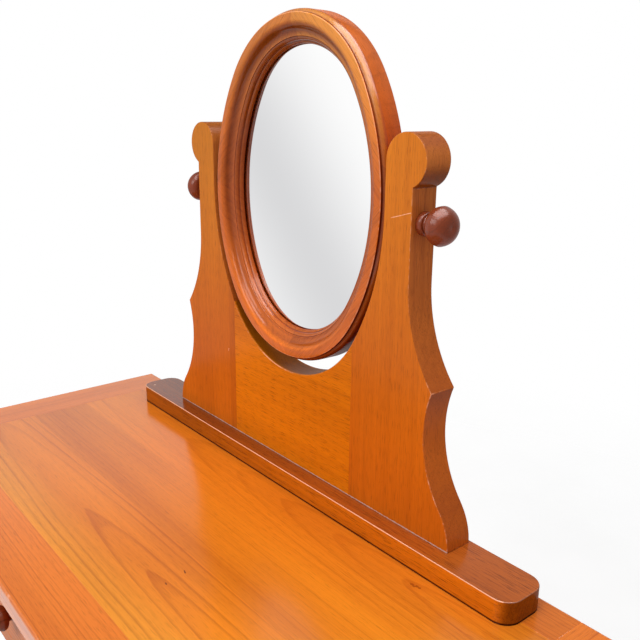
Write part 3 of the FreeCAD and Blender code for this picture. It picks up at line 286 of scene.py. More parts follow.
def timber_group():
    """Rings around a heart line, streaks, fibres and pores of one board, with its grain along X."""
    graph, given, last = new_group(
        "Timber", sockets(Vector="Vector, Heart", Color="Pale, Deep",
                          Float="Slope, Ring, Wander, Seed, Figure, Streak, Pore"),
        sockets(Color="Color", Float="Roughness, Height"))
    place = graph.vector("ADD", given["Vector"], graph.joined(given["Seed"], given["Seed"], given["Seed"]))

    def swing(stretch, detail=2.0):
        """Noise that swings about zero."""
        return graph.noise(place, stretch, detail) - 0.5

    def specks(stretch, least):
        """Short dark marks along the grain."""
        return graph.ramp(graph.noise(place, stretch, 1.0), least, 0.72) * given["Pore"]

    along, across, depth = graph.split(given["Vector"])
    heart_along, heart_across, heart_depth = graph.split(given["Heart"])
    sideways = across - heart_across
    below = depth - heart_depth - (along - heart_along) * given["Slope"]
    bend = swing((1.7, 7.0, 7.0)) * given["Wander"]
    ripple = swing((11.0, 80.0, 80.0)) * 0.0016
    reach = graph.math("SQRT", sideways * sideways + below * below) + bend + ripple
    count = reach / given["Ring"] + given["Seed"]
    part = graph.math("FRACT", count)
    late = graph.ramp(part, 0.60, 0.94) * graph.ramp(part, 0.94, 1.0, 1.0, 0.0)
    year = graph.call("ShaderNodeTexWhiteNoise", {"W": graph.math("FLOOR", count)}, "Value",
                      noise_dimensions="1D")
    ring = late * graph.ramp(year, 0.0, 1.0, 0.15, 1.0)
    fibre = swing((16.0, 520.0, 520.0))
    broad = swing((0.9, 20.0, 20.0), 1.0)
    streak = swing((1.8, 150.0, 150.0)) + fibre * 0.55 + broad * 0.9
    cloud = graph.noise(place, (2.4, 6.5, 6.5), 1.0)
    pore = specks((45.0, 1500.0, 1500.0), 0.58)
    dash = specks((75.0, 700.0, 700.0), 0.60) * 0.55
    ground = graph.ramp(cloud, 0.25, 0.75, 0.06, 0.42)
    tone = ring * given["Figure"] + streak * given["Streak"] + dash + ground
    colour = graph.blend(tone, given["Pale"], given["Deep"])
    colour = graph.blend(pore, colour, graph.scaled(given["Deep"], 0.45))
    return close_group(graph, last, {"Color": colour, "Height": fibre * 0.25 - pore * 0.8,
                                     "Roughness": graph.ramp(cloud, 0.3, 0.7, 0.26, 0.34) + pore * 0.25})


# Painted shade: the tone that the hollows and quirks of the moulding are darkened towards
PAINTED_HOLLOW_SHADE = (0.17, 0.08, 0.04, 1.0)


def worn_and_shaded_group():
    """Stain rubbed off the arrises in patches where the arris mark is above zero, and painted shade in the hollows
    and quirks where it is below zero.
    """
    graph, given, last = new_group(
        "Worn arris", sockets(Vector="Vector", Color="Color, Worn", Float="Amount"), sockets(Color="Color"))
    mark = graph.call("ShaderNodeAttribute", None, "Fac", attribute_name="arris")
    broad = graph.noise(given["Vector"], (13.0, 13.0, 13.0))
    fine = graph.noise(given["Vector"], (170.0, 170.0, 170.0))
    patch = fine * 0.45 + broad * 0.55 + given["Amount"]
    rubbed = graph.math("MAXIMUM", mark, 0.0) * graph.ramp(patch, 0.55, 0.75)
    # Marks below zero paint shade into the hollows
    hollow_shade = graph.math("MINIMUM", mark, 0.0) * -1.0
    colour = graph.blend(hollow_shade, given["Color"], PAINTED_HOLLOW_SHADE, "MULTIPLY")
    return close_group(graph, last, {"Color": graph.blend(rubbed, colour, given["Worn"])})


def nick_group():
    """A scratch or chip in the finish, along a line between two points."""
    graph, given, last = new_group(
        "Nick", sockets(Vector="Vector, From, To", Float="Width", Color="Color, Bare"),
        sockets(Color="Color"))
    run = graph.vector("SUBTRACT", given["To"], given["From"])
    offset = graph.vector("SUBTRACT", given["Vector"], given["From"])
    share = (graph.vector("DOT_PRODUCT", offset, run, "Value")
             / graph.vector("DOT_PRODUCT", run, run, "Value"))
    share = graph.math("MINIMUM", graph.math("MAXIMUM", share, 0.0), 1.0)
    gap = graph.vector("LENGTH", graph.vector("SUBTRACT", offset, graph.scaled(run, share)), None, "Value")
    grit = graph.noise(given["Vector"], (420.0, 420.0, 420.0))
    edge = given["Width"] * graph.ramp(grit, 0.3, 0.65, 0.35, 1.3)
    bare = graph.ramp(gap / edge, 0.6, 1.0, 1.0, 0.0)
    return close_group(graph, last, {"Color": graph.blend(bare, given["Color"], given["Bare"])})


def metal_group():
    """Fine turning marks and dull patches of small metal fittings."""
    graph, given, last = new_group("Fitting metal", sockets(Vector="Vector", Color="Bright, Dull"),
                                   sockets(Color="Color", Float="Roughness, Height"))
    patch = graph.noise(given["Vector"], (130.0, 130.0, 130.0), 3.0)
    colour = graph.blend(graph.ramp(patch, 0.35, 0.7), given["Bright"], given["Dull"])
    return close_group(graph, last, {"Color": colour, "Roughness": graph.ramp(patch, 0.3, 0.75, 0.22, 0.5),
                                     "Height": graph.noise(given["Vector"], (2600.0, 300.0, 300.0), 1.0)})


GROUPS = {"Timber": timber_group, "Worn arris": worn_and_shaded_group, "Nick": nick_group, "Fitting metal": metal_group}
GRAIN_ALONG = {"X": (0.0, 0.0, 0.0), "Y": (0.0, 0.0, -math.pi / 2), "Z": (0.0, math.pi / 2, 0.0)}
# The heart line's place and slope, the rings' width and wander, and how strongly each mark of the wood shows
Board = namedtuple("Board", "heart slope ring wander seed figure streak pore")
# A scratch, chip or spot along a line, bare wood unless it has a colour of its own
Nick = namedtuple("Nick", "start end width colour", defaults=(None,))
# A tone that comes in along one axis of the place or the normal, for the wood's own tones and for painted light
# and shade
Shade = namedtuple("Shade", "axis start end colour reads", defaults=("Object",))
Coat = namedtuple("Coat", "weight rough")
PLAIN_COAT = Coat(0.4, 0.2)
TOP_COAT = Coat(1.0, 0.17)
STAND_COAT = Coat(0.25, 0.22)
KNOB_COAT = Coat(0.70, 0.26)
# A coat without a weight of its own takes it from the polish marks of the mesh
MARKED_COAT = Coat(None, 0.16)


class Finish:
    """One material under construction, with its pattern on Object coordinates."""

    def __init__(self, name):
        self.material = bpy.data.materials.new(name)
        self.material.use_nodes = True
        self.graph = Graph(self.material.node_tree)
        self.shader = self.material.node_tree.nodes["Principled BSDF"]
        self.reads = self.graph.outputs("ShaderNodeTexCoord")
        self.place = self.reads["Object"]

    def turned(self, rotation):
        """The pattern's coordinates, turned."""
        return self.graph.call("ShaderNodeMapping", {"Vector": self.place, "Rotation": rotation})

    def group(self, name, inputs):
        """A shared effect, with this material's own values."""
        tree = bpy.data.node_groups.get(name) or GROUPS[name]()
        return self.graph.outputs("ShaderNodeGroup", inputs, node_tree=tree)

    def paint(self, colour, roughness):
        """Colour and roughness of the shader."""
        self.graph.feed(self.shader.inputs["Base Color"], colour)
        self.graph.feed(self.shader.inputs["Roughness"], roughness)

    def bump(self, height, strength, distance):
        """Relief from a height."""
        relief = self.graph.call("ShaderNodeBump", {"Height": height, "Strength": strength,
                                                    "Distance": distance})
        self.graph.feed(self.shader.inputs["Normal"], relief)

    def shine(self, **values):
        """Values of the shader that are the same all over."""
        for name, value in values.items():
            self.shader.inputs[name.replace("_", " ").title().replace("Ior", "IOR")].default_value = value


def rgba(colour):
    """A colour with full alpha."""
    return (*colour, 1.0)


def board_inputs(board, vector, kind, lift):
    """Inputs of the timber group for one board, its tones made lighter or darker."""
    colours = bpy.context.scene.dressing_timber
    pale, deep = (rgba(min(1.0, part * lift) for part in getattr(colours, f"{kind}_{tone}"))
                  for tone in ("pale", "deep"))
    own = {part.capitalize(): value for part, value in board._asdict().items()}
    return {**own, "Vector": vector, "Pale": pale, "Deep": deep}


def timber(name, kind, grain, board, worn=0.0, nicks=(), lift=1.0, coat=PLAIN_COAT, shades=()):
    """Stained and lacquered wood: a board's figure, its nicks, and the shades of its toned parts, some of them
    painted light and shade.
    """
    finish = Finish(name)
    rotation = GRAIN_ALONG[grain] if isinstance(grain, str) else grain
    made = finish.group("Timber", board_inputs(board, finish.turned(rotation), kind, lift))
    return lacquered(finish, made, worn, nicks, coat, shades)


def lacquered(finish, made, worn, nicks, coat, shades):
    """Join a board's figure to the shader, under lacquer that is toned, in places with painted light and shade,
    worn and nicked.
    """
    graph = finish.graph
    bare = rgba(bpy.context.scene.dressing_timber.worn)
    colour = made["Color"]
    # Each shade multiplies the colour: the wood's own tones, and painted light and shade
    for shade in shades:
        past = graph.ramp(graph.split(finish.reads[shade.reads])[shade.axis], shade.start, shade.end)
        colour = graph.blend(past, colour, rgba(shade.colour), "MULTIPLY")
    colour = finish.group("Worn arris", {"Vector": finish.place, "Color": colour, "Worn": bare,
                                         "Amount": worn})["Color"]
    for nick in nicks:
        colour = finish.group("Nick", {"Vector": finish.place, "From": nick.start, "To": nick.end,
                                       "Width": nick.width, "Color": colour,
                                       "Bare": rgba(nick.colour) if nick.colour else bare})["Color"]
    finish.paint(colour, made["Roughness"])
    finish.bump(made["Height"], strength=0.10, distance=0.0003)
    finish.shine(specular_ior_level=0.0, coat_roughness=coat.rough, coat_ior=1.5)
    weight = coat.weight
    if weight is None:
        weight = graph.call("ShaderNodeAttribute", None, "Fac", attribute_name="polish")
    graph.feed(finish.shader.inputs["Coat Weight"], weight)
    return finish.material


def lining(name, grain, board, lift=1.0):
    """Bare planed wood."""
    finish = Finish(name)
    made = finish.group("Timber", board_inputs(board, finish.turned(GRAIN_ALONG[grain]), "lining", lift))
    finish.paint(made["Color"], made["Roughness"] + 0.32)
    finish.bump(made["Height"], strength=0.35, distance=0.0004)
    finish.shine(specular_ior_level=0.35)
    return finish.material


def fitting(name, bright, dull):
    """Metal of screws, studs and bushes."""
    finish = Finish(name)
    made = finish.group("Fitting metal", {"Vector": finish.place, "Bright": rgba(bright), "Dull": rgba(dull)})
    finish.paint(made["Color"], made["Roughness"])
    finish.bump(made["Height"], strength=0.15, distance=0.0001)
    finish.shine(metallic=1.0)
    return finish.material


# Painted reflection in the mirror: the grey of its band, its bright part and its soft part
REFLECTED_GREY_BAND = (0.69, 0.69, 0.70, 1.0)
REFLECTED_BRIGHT = (0.98, 0.98, 0.98, 1.0)
REFLECTED_SOFT = (0.86, 0.865, 0.87, 1.0)


def silvered():
    """Mirror glass: silver with a painted reflection, a soft grey band across it, brighter towards its top right
    and lower left.
    """
    finish = Finish("Silvered glass")
    graph = finish.graph
    across, _, up = graph.split(finish.place)
    cloud = graph.noise(finish.place, (7.0, 7.0, 7.0), 1.0)
    reach = (up - PIVOT.z) * 0.68 + across * 0.73 + cloud * 0.02 + 0.02
    colour = graph.blend(graph.ramp(reach, 0.0, 0.19), REFLECTED_GREY_BAND, REFLECTED_BRIGHT)
    colour = graph.blend(graph.ramp(reach, -0.16, 0.0, 1.0, 0.0), colour, REFLECTED_SOFT)
    finish.paint(colour, graph.ramp(cloud, 0.3, 0.7, 0.015, 0.035))
    finish.shine(metallic=1.0)
    return finish.material


# Pieces

FLAT_ANGLE, TURNED_SHARP, MOULDED_SHARP = 0.6, 50.0, 32.0


def settle(piece, node, material):
    """Give a finished piece its finish and its body, and hide the CAD piece that it stands for."""
    piece.data.materials.clear()
    piece.data.materials.append(material)
    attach(piece, BODIES[node])
    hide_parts(node)


def dress(node, material):
    """Give a CAD piece that shows as it is a finish."""
    data = frame["nodes"][node].data
    data.materials.clear()
    data.materials.append(material)


def linked(name, data):
    """A new object in the scene."""
    piece = bpy.data.objects.new(name, data)
    bpy.context.scene.collection.objects.link(piece)
    return piece


def meshed(shape, name):
    """A finished bmesh as a mesh."""
    mesh = bpy.data.meshes.new(name)
    shape.to_mesh(mesh)
    shape.free()
    return mesh


def smooth(mesh, sharp):
    """Smooth shading, but for edges over an angle in degrees."""
    mesh.polygons.foreach_set("use_smooth", [True] * len(mesh.polygons))
    mesh.set_sharp_from_angle(angle=math.radians(sharp))


def plain_mesh(piece, name):
    """The piece's mesh with its modifiers worked in."""
    graph = bpy.context.evaluated_depsgraph_get()
    mesh = bpy.data.meshes.new_from_object(piece.evaluated_get(graph), preserve_all_data_layers=True,
                                           depsgraph=graph)
    mesh.name = name
    piece.modifiers.clear()
    return mesh


def merged(node):
    """A copy of a CAD piece as one clean mesh, flat faces whole."""
    shape = bmesh.new()
    shape.from_mesh(frame["nodes"][node].data)
    bmesh.ops.remove_doubles(shape, verts=shape.verts, dist=SAME_POINT)
    bmesh.ops.dissolve_limit(shape, angle_limit=math.radians(FLAT_ANGLE), verts=shape.verts,
                             edges=shape.edges)
    return shape


def mark(mesh, name, values):
    """Give every face of a mesh a value."""
    mesh.attributes.new(name, "FLOAT", "FACE").data.foreach_set("value", values)


# Material slots that tell the faces of a board from its eased strips
FACE, STRIP = 0, 1


def eased(node, width, share=None, rub=None, polish=None, clamp=False, segments=3, sharp=38.0):
    """A copy of a CAD piece with its arrises eased; width, wear and polish may differ from place to place."""
    shape = merged(node)
    weight = shape.edges.layers.float.new("bevel_weight_edge")
    for edge in shape.edges:
        if len(edge.link_faces) == 2 and edge.calc_face_angle(0.0) > math.radians(sharp):
            middle = (edge.verts[0].co + edge.verts[1].co) / 2
            edge[weight] = share(middle) if share else 1.0
    mesh = meshed(shape, f"{node}_eased")
    piece = linked(f"{node}_eased", mesh)
    for _ in (FACE, STRIP):
        mesh.materials.append(None)
    bevel = piece.modifiers.new("Ease", "BEVEL")
    bevel.limit_method = "WEIGHT"
    bevel.width = width
    bevel.segments = segments
    bevel.use_clamp_overlap = clamp
    bevel.material = STRIP
    piece.modifiers.new("Even shading", "WEIGHTED_NORMAL").keep_sharp = True
    mesh.polygons.foreach_set("material_index", [FACE] * len(mesh.polygons))
    smooth(mesh, sharp)
    result = plain_mesh(piece, f"{node}_eased")
    mark(result, "arris", [0.0 if face.material_index == FACE else rub(face.center) if rub else 1.0
                           for face in result.polygons])
    if polish:
        mark(result, "polish", [polish(face.normal) for face in result.polygons])
    result.polygons.foreach_set("material_index", [FACE] * len(result.polygons))
    piece.data = result
    bpy.data.meshes.remove(mesh)
    return piece


def lathed(name, outline, seat, axis, steps=64):
    """A turned piece from its outline of distances along the axis and radii."""
    shape = bmesh.new()
    turn = axis.to_track_quat("Z", "Y").to_matrix().to_4x4()
    angles = [2 * math.pi * step / steps for step in range(steps)]
    rings = []
    for along, radius in outline:
        around = angles if radius > SAME_POINT else [0.0]
        rings.append([shape.verts.new((radius * math.cos(turned), radius * math.sin(turned), along))
                      for turned in around])
    for near, far in zip(rings, rings[1:]):
        for step in range(steps):
            corners = [ring[(step + shift) % len(ring)]
                       for ring, shift in ((near, 0), (near, 1), (far, 1), (far, 0))]
            unique = list(dict.fromkeys(corners))
            if len(unique) > 2:
                shape.faces.new(unique)
    bmesh.ops.transform(shape, matrix=Matrix.Translation(seat) @ turn, verts=shape.verts)
    bmesh.ops.recalc_face_normals(shape, faces=shape.faces)
    mesh = meshed(shape, name)
    smooth(mesh, TURNED_SHARP)
    return linked(name, mesh)


def bowed(start, end, rise, steps):
    """Points from start to end along a shallow curve that rises to the left of the run."""
    run = (end[0] - start[0], end[1] - start[1])
    size = math.hypot(*run)
    side = (-run[1] / size, run[0] / size)
    points = []
    for step in range(steps + 1):
        share = step / steps
        lift = 4.0 * rise * share * (1.0 - share)
        points.append((start[0] + run[0] * share + side[0] * lift,
                       start[1] + run[1] * share + side[1] * lift))
    return points


def spoken(node):
    """A node's name in plain words."""
    return node.replace("_", " ").capitalize()


def cleaned(shape):
    """Double points merged and faces turned outward."""
    bmesh.ops.remove_doubles(shape, verts=shape.verts, dist=SAME_POINT)
    bmesh.ops.recalc_face_normals(shape, faces=shape.faces)
    return shape


def join(pieces, name):
    """Like pieces of one body as one mesh."""
    shape = bmesh.new()
    for piece in pieces:
        shape.from_mesh(piece.data)
        bpy.data.objects.remove(piece)
    mesh = meshed(shape, name)
    smooth(mesh, TURNED_SHARP)
    return linked(name, mesh)


def clad(graph, last, geometry, material):
    """Close a geometry tree, with its instances made real and its material set."""
    real = graph.call("GeometryNodeRealizeInstances", {"Geometry": geometry})
    done = graph.call("GeometryNodeSetMaterial", {"Geometry": real, "Material": material})
    return close_group(graph, last, {"Geometry": done})


def run_tree(name, mesh, tree, inputs):
    """A plain mesh made by a geometry tree, its inputs set by name."""
    piece = linked(name, mesh)
    modifier = piece.modifiers.new(tree.name, "NODES")
    modifier.node_group = tree
    for socket in tree.interface.items_tree:
        if socket.in_out == "INPUT" and socket.name in inputs:
            modifier[socket.identifier] = inputs[socket.name]
    piece.data = plain_mesh(piece, name)
    bpy.data.meshes.remove(mesh)
    return piece


# Table top

FIELD_JOINTS = (-0.030, 0.060)
FIELD_BOARDS = (
    Board((0.36, -0.083, TOP_HEIGHT - 0.004), 0.055, 0.0090, 0.016, 0.7, 0.42, 0.56, 0.30),
    Board((0.0, -0.26, TOP_HEIGHT - 0.150), 0.004, 0.0052, 0.006, 2.3, 0.22, 0.66, 0.30),
    Board((0.52, 0.127, TOP_HEIGHT - 0.004), 0.075, 0.0085, 0.012, 4.1, 0.27, 0.58, 0.30))
FIELD_LIFTS = (1.0, 0.97, 1.01)
FIELD_WORN, BAND_WORN = -0.2, 0.02
FLECK_TONE, KNOT_TONE = (0.16, 0.032, 0.002), (0.42, 0.085, 0.006)
# Painted light, lighter towards the right end of the field; then a paler streak of the wood near the front
FIELD_SHADES = (Shade(0, 0.02, 0.36, (1.13, 1.22, 1.50)), Shade(1, -0.080, -0.142, (1.05, 1.32, 1.80)))
FIELD_FLECKS = (Nick((0.105, -0.052, TOP_HEIGHT), (0.109, -0.053, TOP_HEIGHT), 0.0010, FLECK_TONE),
                Nick((0.112, -0.079, TOP_HEIGHT), (0.1145, -0.0795, TOP_HEIGHT), 0.0009, FLECK_TONE),
                Nick((0.2780, 0.1288, TOP_HEIGHT), (0.2830, 0.1284, TOP_HEIGHT), 0.0022, KNOT_TONE),
                Nick((0.2840, 0.1300, TOP_HEIGHT), (0.2895, 0.1309, TOP_HEIGHT), 0.0018, KNOT_TONE))


def field_material():
    """The field of the table top: three boards side by side, each with its own figure."""
    finish = Finish("Table top field")
    graph = finish.graph
    back = graph.split(finish.place)[1]
    made, *others = [finish.group("Timber", board_inputs(board, finish.place, "field", lift))
                     for board, lift in zip(FIELD_BOARDS, FIELD_LIFTS)]
    for joint, part in zip(FIELD_JOINTS, others):
        past = graph.math("GREATER_THAN", back, joint)
        made = {"Color": graph.blend(past, made["Color"], part["Color"]),
                **{key: graph.call("ShaderNodeMix", {0: past, 2: made[key], 3: part[key]})
                   for key in ("Roughness", "Height")}}
    return lacquered(finish, made, FIELD_WORN, FIELD_FLECKS, TOP_COAT, FIELD_SHADES)


class DRESSING_OT_table_top(bpy.types.Operator):
    """Field, bands and end boards of the table top, eased at the outer edges only"""
    bl_idname = "dressing.table_top"
    bl_label = "Table top"

    def execute(self, context):
        edges = context.scene.dressing_edges
        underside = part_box("top_panel")[0].z
        back_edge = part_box("top_back_band")[1].y

        def outer(point):
            """Full width at the outer edges of the top, a hair at the joints."""
            rim = min(CAD_HIGH.x - abs(point.x), point.y - CAD_LOW.y, back_edge - point.y) < SAME_FACE
            flat = min(abs(point.z - TOP_HEIGHT), abs(point.z - underside)) < SAME_FACE
            return 1.0 if rim else edges.joints / edges.top if flat else 0.0

        cross = Board((0.3, 0.1, TOP_HEIGHT - 0.030), 0.03, 0.0052, 0.010, 6.2, 0.45, 0.55, 0.35)
        front = Board((-0.2, -0.34, TOP_HEIGHT - 0.060), 0.006, 0.0048, 0.008, 8.9, 0.45, 0.60, 0.35)
        back = Board((0.1, 0.30, TOP_HEIGHT - 0.040), 0.006, 0.0048, 0.008, 10.4, 0.45, 0.60, 0.35)
        settle(eased("top_panel", edges.top, outer), "top_panel", field_material())
        for node, name, grain, board, lift in (
                ("top_front_band", "Front band", "X", front, 1.0),
                ("top_back_band", "Back band", "X", back, 1.0),
                ("top_right_end", "Right end board", "Y", cross._replace(seed=7.7), 1.12),
                ("top_left_end", "Left end board", "Y", cross, 1.0)):
            material = timber(name, "band", grain, board, BAND_WORN, lift=lift, coat=TOP_COAT)
            settle(eased(node, edges.top, outer), node, material)
        return {"FINISHED"}


# Legs and carcass

LEGS = ("front_left_leg", "front_right_leg", "back_left_leg", "back_right_leg")


class DRESSING_OT_legs(bpy.types.Operator):
    """Four turned legs"""
    bl_idname = "dressing.legs"
    bl_label = "Legs"

    def execute(self, context):
        for index, node in enumerate(LEGS):
            low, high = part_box(node)
            middle = (low + high) / 2
            heart = (0.0, middle.y + 0.05, -middle.x + 0.03)
            board = Board(heart, 0.01, 0.0050, 0.008, 12.0 + index, 0.40, 0.55, 0.35)
            settle(eased(node, context.scene.dressing_edges.legs, clamp=True), node,
                   timber(f"Leg {index + 1}", "carcass", "Z", board))
        return {"FINISHED"}


class DRESSING_OT_carcass(bpy.types.Operator):
    """Sides, back, rails and dividers, and the bearings of the drawers"""
    bl_idname = "dressing.carcass"
    bl_label = "Carcass"

    def execute(self, context):
        width = context.scene.dressing_edges.boards
        long_board = Board((0.2, -0.30, 0.55), 0.02, 0.0050, 0.010, 20.0, 0.40, 0.55, 0.35)
        side_board = Board((0.1, 0.50, 0.62), 0.05, 0.0055, 0.012, 23.0, 0.45, 0.55, 0.35)
        upright = Board((0.6, -0.20, 0.10), 0.02, 0.0050, 0.008, 26.0, 0.40, 0.55, 0.35)
        for node, grain, board in (("front_lower_rail", "X", long_board),
                                   ("front_upper_rail", "X", long_board._replace(seed=21.5)),
                                   ("back_panel", "X", side_board._replace(heart=(0.1, 0.19, 0.60))),
                                   ("right_side", "Y", side_board),
                                   ("left_side", "Y", side_board._replace(seed=24.4)),
                                   ("right_divider", "Z", upright),
                                   ("left_divider", "Z", upright._replace(seed=27.3))):
            settle(eased(node, width, clamp=True), node, timber(spoken(node), "carcass", grain, board))
        bearing = lining("Bearing wood", "Y", long_board._replace(seed=30.0), 0.92)
        for node in ("drawer_runners", "drawer_kickers", "drawer_guides"):
            dress(node, bearing)
        dress("drawer_stops", lining("Stop wood", "X", long_board._replace(seed=31.0), 0.95))
        return {"FINISHED"}


# Drawers

FRONT_EASE = 1.6
LININGS = (("left_side", "Y", 1.0), ("right_side", "Y", 0.97), ("back", "X", 1.02))
PULL_OUTLINE = ([(-0.015, 0.0), (-0.015, 0.005), (0.0, 0.005), (0.0, 0.0096)]
                + bowed((0.0004, 0.0100), (0.0030, 0.0094), 0.0006, 5)
                + bowed((0.0033, 0.0088), (0.0088, 0.0075), -0.0012, 8)
                + bowed((0.0092, 0.0078), (0.0165, 0.0160), 0.0022, 10)
                + bowed((0.0168, 0.0160), (0.0250, 0.0), 0.0042, 16))


class DRESSING_OT_drawers(bpy.types.Operator):
    """Three drawers: fronts, linings and turned pulls"""
    bl_idname = "dressing.drawers"
    bl_label = "Drawers"

    def execute(self, context):
        width = context.scene.dressing_edges.boards
        for index, drawer in enumerate(("left_drawer", "center_drawer", "right_drawer")):
            front, bottom = f"{drawer}_front", f"{drawer}_bottom"
            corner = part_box(front)[0]
            board = Board((corner.x, -0.19, 0.60), 0.05, 0.0055, 0.012, 40.0 + index, 0.50, 0.55, 0.35)
            settle(eased(front, FRONT_EASE * width, clamp=True), front,
                   timber(spoken(front), "carcass", "X", board, -0.02, lift=1.04))
            side = Board((0.0, 0.0, 0.55), 0.03, 0.0050, 0.010, 44.0 + index, 0.45, 0.5, 0.3)
            for part, grain, lift in LININGS:
                node = f"{drawer}_{part}"
                settle(eased(node, width, clamp=True), node,
                       lining(spoken(node), grain, side._replace(seed=side.seed + lift), lift))
            dress(bottom, lining(spoken(bottom), "X", side._replace(seed=48.0 + index, ring=0.009), 0.94))
            self.pulls(drawer, corner.y)
        return {"FINISHED"}

    def pulls(self, drawer, seat):
        """The pulls of one drawer, turned in one piece with their spigots."""
        node = f"{drawer}_pulls"
        low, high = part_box(node)
        radius = (high.z - low.z) / 2
        pair = high.x - low.x > 3 * radius
        places = (low.x + radius, high.x - radius) if pair else ((low.x + high.x) / 2,)
        turned = [lathed(f"{drawer}_pull_{index + 1}", PULL_OUTLINE,
                         Vector((across, seat, (low.z + high.z) / 2)), Vector((0, -1, 0)))
                  for index, across in enumerate(places)]
        board = Board((0.02, 0.0, 0.62), 0.02, 0.0045, 0.006, 52.0, 0.5, 0.7, 0.4)
        settle(join(turned, f"{drawer}_turned_pulls"), node, timber(spoken(node), "knob", "Y", board))


# Stand

SEAM_REACH, WAIST_HEIGHT = 1e-3, 1.0
BACK_RUB, FOOT_RUB, HEAD_RUB = 0.2, 0.7, 0.35
FOOT_LINE_TONE = (0.58, 0.40, 0.33)
FOOT_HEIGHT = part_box("stand_base")[1].z + 0.0012
UPRIGHT_SCRATCH = Nick((0.185, 0.170, 1.1340), (0.2148, 0.170, 1.1425), 0.00045)
UPRIGHT_SPOT = Nick((-0.145, 0.170, 0.8990), (-0.1445, 0.170, 0.9010), 0.0011)
# Tones by the way a face looks: darker under the cusps, painted shade from the light above with some darker end
# grain; darker end grain on the heads' tops; the side edges a little darker and bluer
END_GRAIN_AND_SHADE = (Shade(2, 0.0, -0.55, (0.44, 0.36, 0.25), "Normal"),
             Shade(2, 0.25, 0.85, (0.66, 0.57, 0.80), "Normal"),
             Shade(0, 0.40, 0.90, (0.90, 0.88, 2.20), "Normal"),
             Shade(0, -0.40, -0.90, (0.90, 0.88, 2.20), "Normal"))
# Painted shadow, darker and greyer, on the centre panel's edges, for the cut-out's edge in the mirror's shadow;
# the second tone returns the back face to its own colour
PANEL_EDGE_SHADOW = (Shade(1, 0.1710, 0.1738, (0.45, 0.46, 0.90)), Shade(1, 0.2035, 0.2062, (2.22, 2.17, 1.11)))


class DRESSING_OT_stand(bpy.types.Operator):
    """Uprights and centre panel of the stand, glued flush at their seams"""
    bl_idname = "dressing.stand"
    bl_label = "Stand"

    def execute(self, context):
        edges = context.scene.dressing_edges

        def away_from_seam(point):
            """Full width everywhere but at the glued seams."""
            return edges.joints / edges.stand if abs(abs(point.x) - SEAM) < SAME_FACE else 1.0

        def rub(point):
            """Worn along the front arrises and the foot, hardly at the seams and the back."""
            if abs(abs(point.x) - SEAM) < SEAM_REACH:
                return 0.0
            front = FOOT_RUB if point.z < WAIST_HEIGHT else HEAD_RUB
            return BACK_RUB if point.y > PIVOT.y else front

        def foot(node):
            """A pale line along the front of a board's foot."""
            low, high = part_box(node)
            return Nick((low.x, low.y, FOOT_HEIGHT), (high.x, low.y, FOOT_HEIGHT), 0.0009, FOOT_LINE_TONE)

        right = Board((0.6, 0.10, -0.05), 0.03, 0.0060, 0.014, 60.0, 0.14, 0.48, 0.50)
        left = Board((0.7, 0.30, 0.05), 0.02, 0.0060, 0.012, 63.0, 0.14, 0.44, 0.50)
        panel = Board((0.2, 0.45, 0.70), 0.02, 0.0055, 0.010, 66.0, 0.16, 0.52, 0.75)
        strip = Shade(0, -SEAM - 0.0150, -SEAM - 0.0135, (0.86, 0.82, 0.90))
        # Painted light: the uprights lighter and yellower towards the top, and the right one painted darker
        # towards its foot
        painted_light_top = Shade(2, 0.86, 1.22, (1.22, 1.60, 3.20))
        painted_light_top_left = Shade(2, 0.86, 1.22, (0.95, 1.32, 2.80))
        painted_shade_foot = Shade(2, 0.89, 0.79, (0.88, 0.85, 0.90))
        for node, name, kind, grain, board, worn, nicks, lift, shades in (
                ("stand_right_upright", "Right upright", "upright", "Z", right, 0.08, (UPRIGHT_SCRATCH,), 1.0,
                 (painted_light_top, painted_shade_foot, *END_GRAIN_AND_SHADE)),
                ("stand_left_upright", "Left upright", "upright", "Z", left, 0.03, (UPRIGHT_SPOT,), 0.97,
                 (painted_light_top_left, strip, *END_GRAIN_AND_SHADE)),
                ("stand_center_panel", "Centre panel", "panel", "X", panel, 0.06, (), 1.0, PANEL_EDGE_SHADOW)):
            material = timber(name, kind, grain, board, worn, (*nicks, foot(node)), lift, STAND_COAT, shades)
            settle(eased(node, edges.stand, away_from_seam, rub), node, material)
        return {"FINISHED"}


ARRIS_REACH = 0.004
BASE_CHIP = Nick((-0.3745, 0.1622, 0.777), (-0.3735, 0.1632, 0.777), 0.0016)


class DRESSING_OT_base(bpy.types.Operator):
    """Base board under the stand"""
    bl_idname = "dressing.base"
    bl_label = "Base board"

    def execute(self, context):
        low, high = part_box("stand_base")

        def rub(point):
            """Worn along the upper front arris, hardly anywhere else."""
            return 1.0 if max(high.z - point.z, point.y - low.y) < ARRIS_REACH else 0.15

        def polish(normal):
            """Bright on top, duller all round."""
            return 1.0 if normal.z > 0.9 else 0.25

        def crisp_foot(point):
            """Full width at the upper arrises, a third at the foot."""
            return 1.0 if point.z > (low.z + high.z) / 2 else 0.3

        board = Board((0.3, 0.40, 0.70), 0.01, 0.0050, 0.010, 70.0, 0.30, 0.75, 0.65)
        # Tones of the base board: darker and greyer on the top face; a painted shadow line along the foot; painted
        # light, lighter towards the right; the ends darker, partly end grain and partly painted shade
        shades = (Shade(2, high.z - 0.0012, high.z - 0.0004, (0.68, 0.60, 2.40)),
                  Shade(2, low.z + 0.0030, low.z + 0.0018, (0.16, 0.12, 0.20)),
                  Shade(0, -0.30, 0.30, (1.80, 1.84, 1.90)),
                  Shade(0, 0.10, 0.80, (0.37, 0.34, 0.36), "Normal"),
                  Shade(0, -0.10, -0.80, (0.37, 0.34, 0.36), "Normal"))
        settle(eased("stand_base", context.scene.dressing_edges.base, crisp_foot, rub, polish), "stand_base",
               timber("Base board", "base", "X", board, 0.45, (BASE_CHIP,), 0.68, MARKED_COAT, shades))
        return {"FINISHED"}


# Mirror

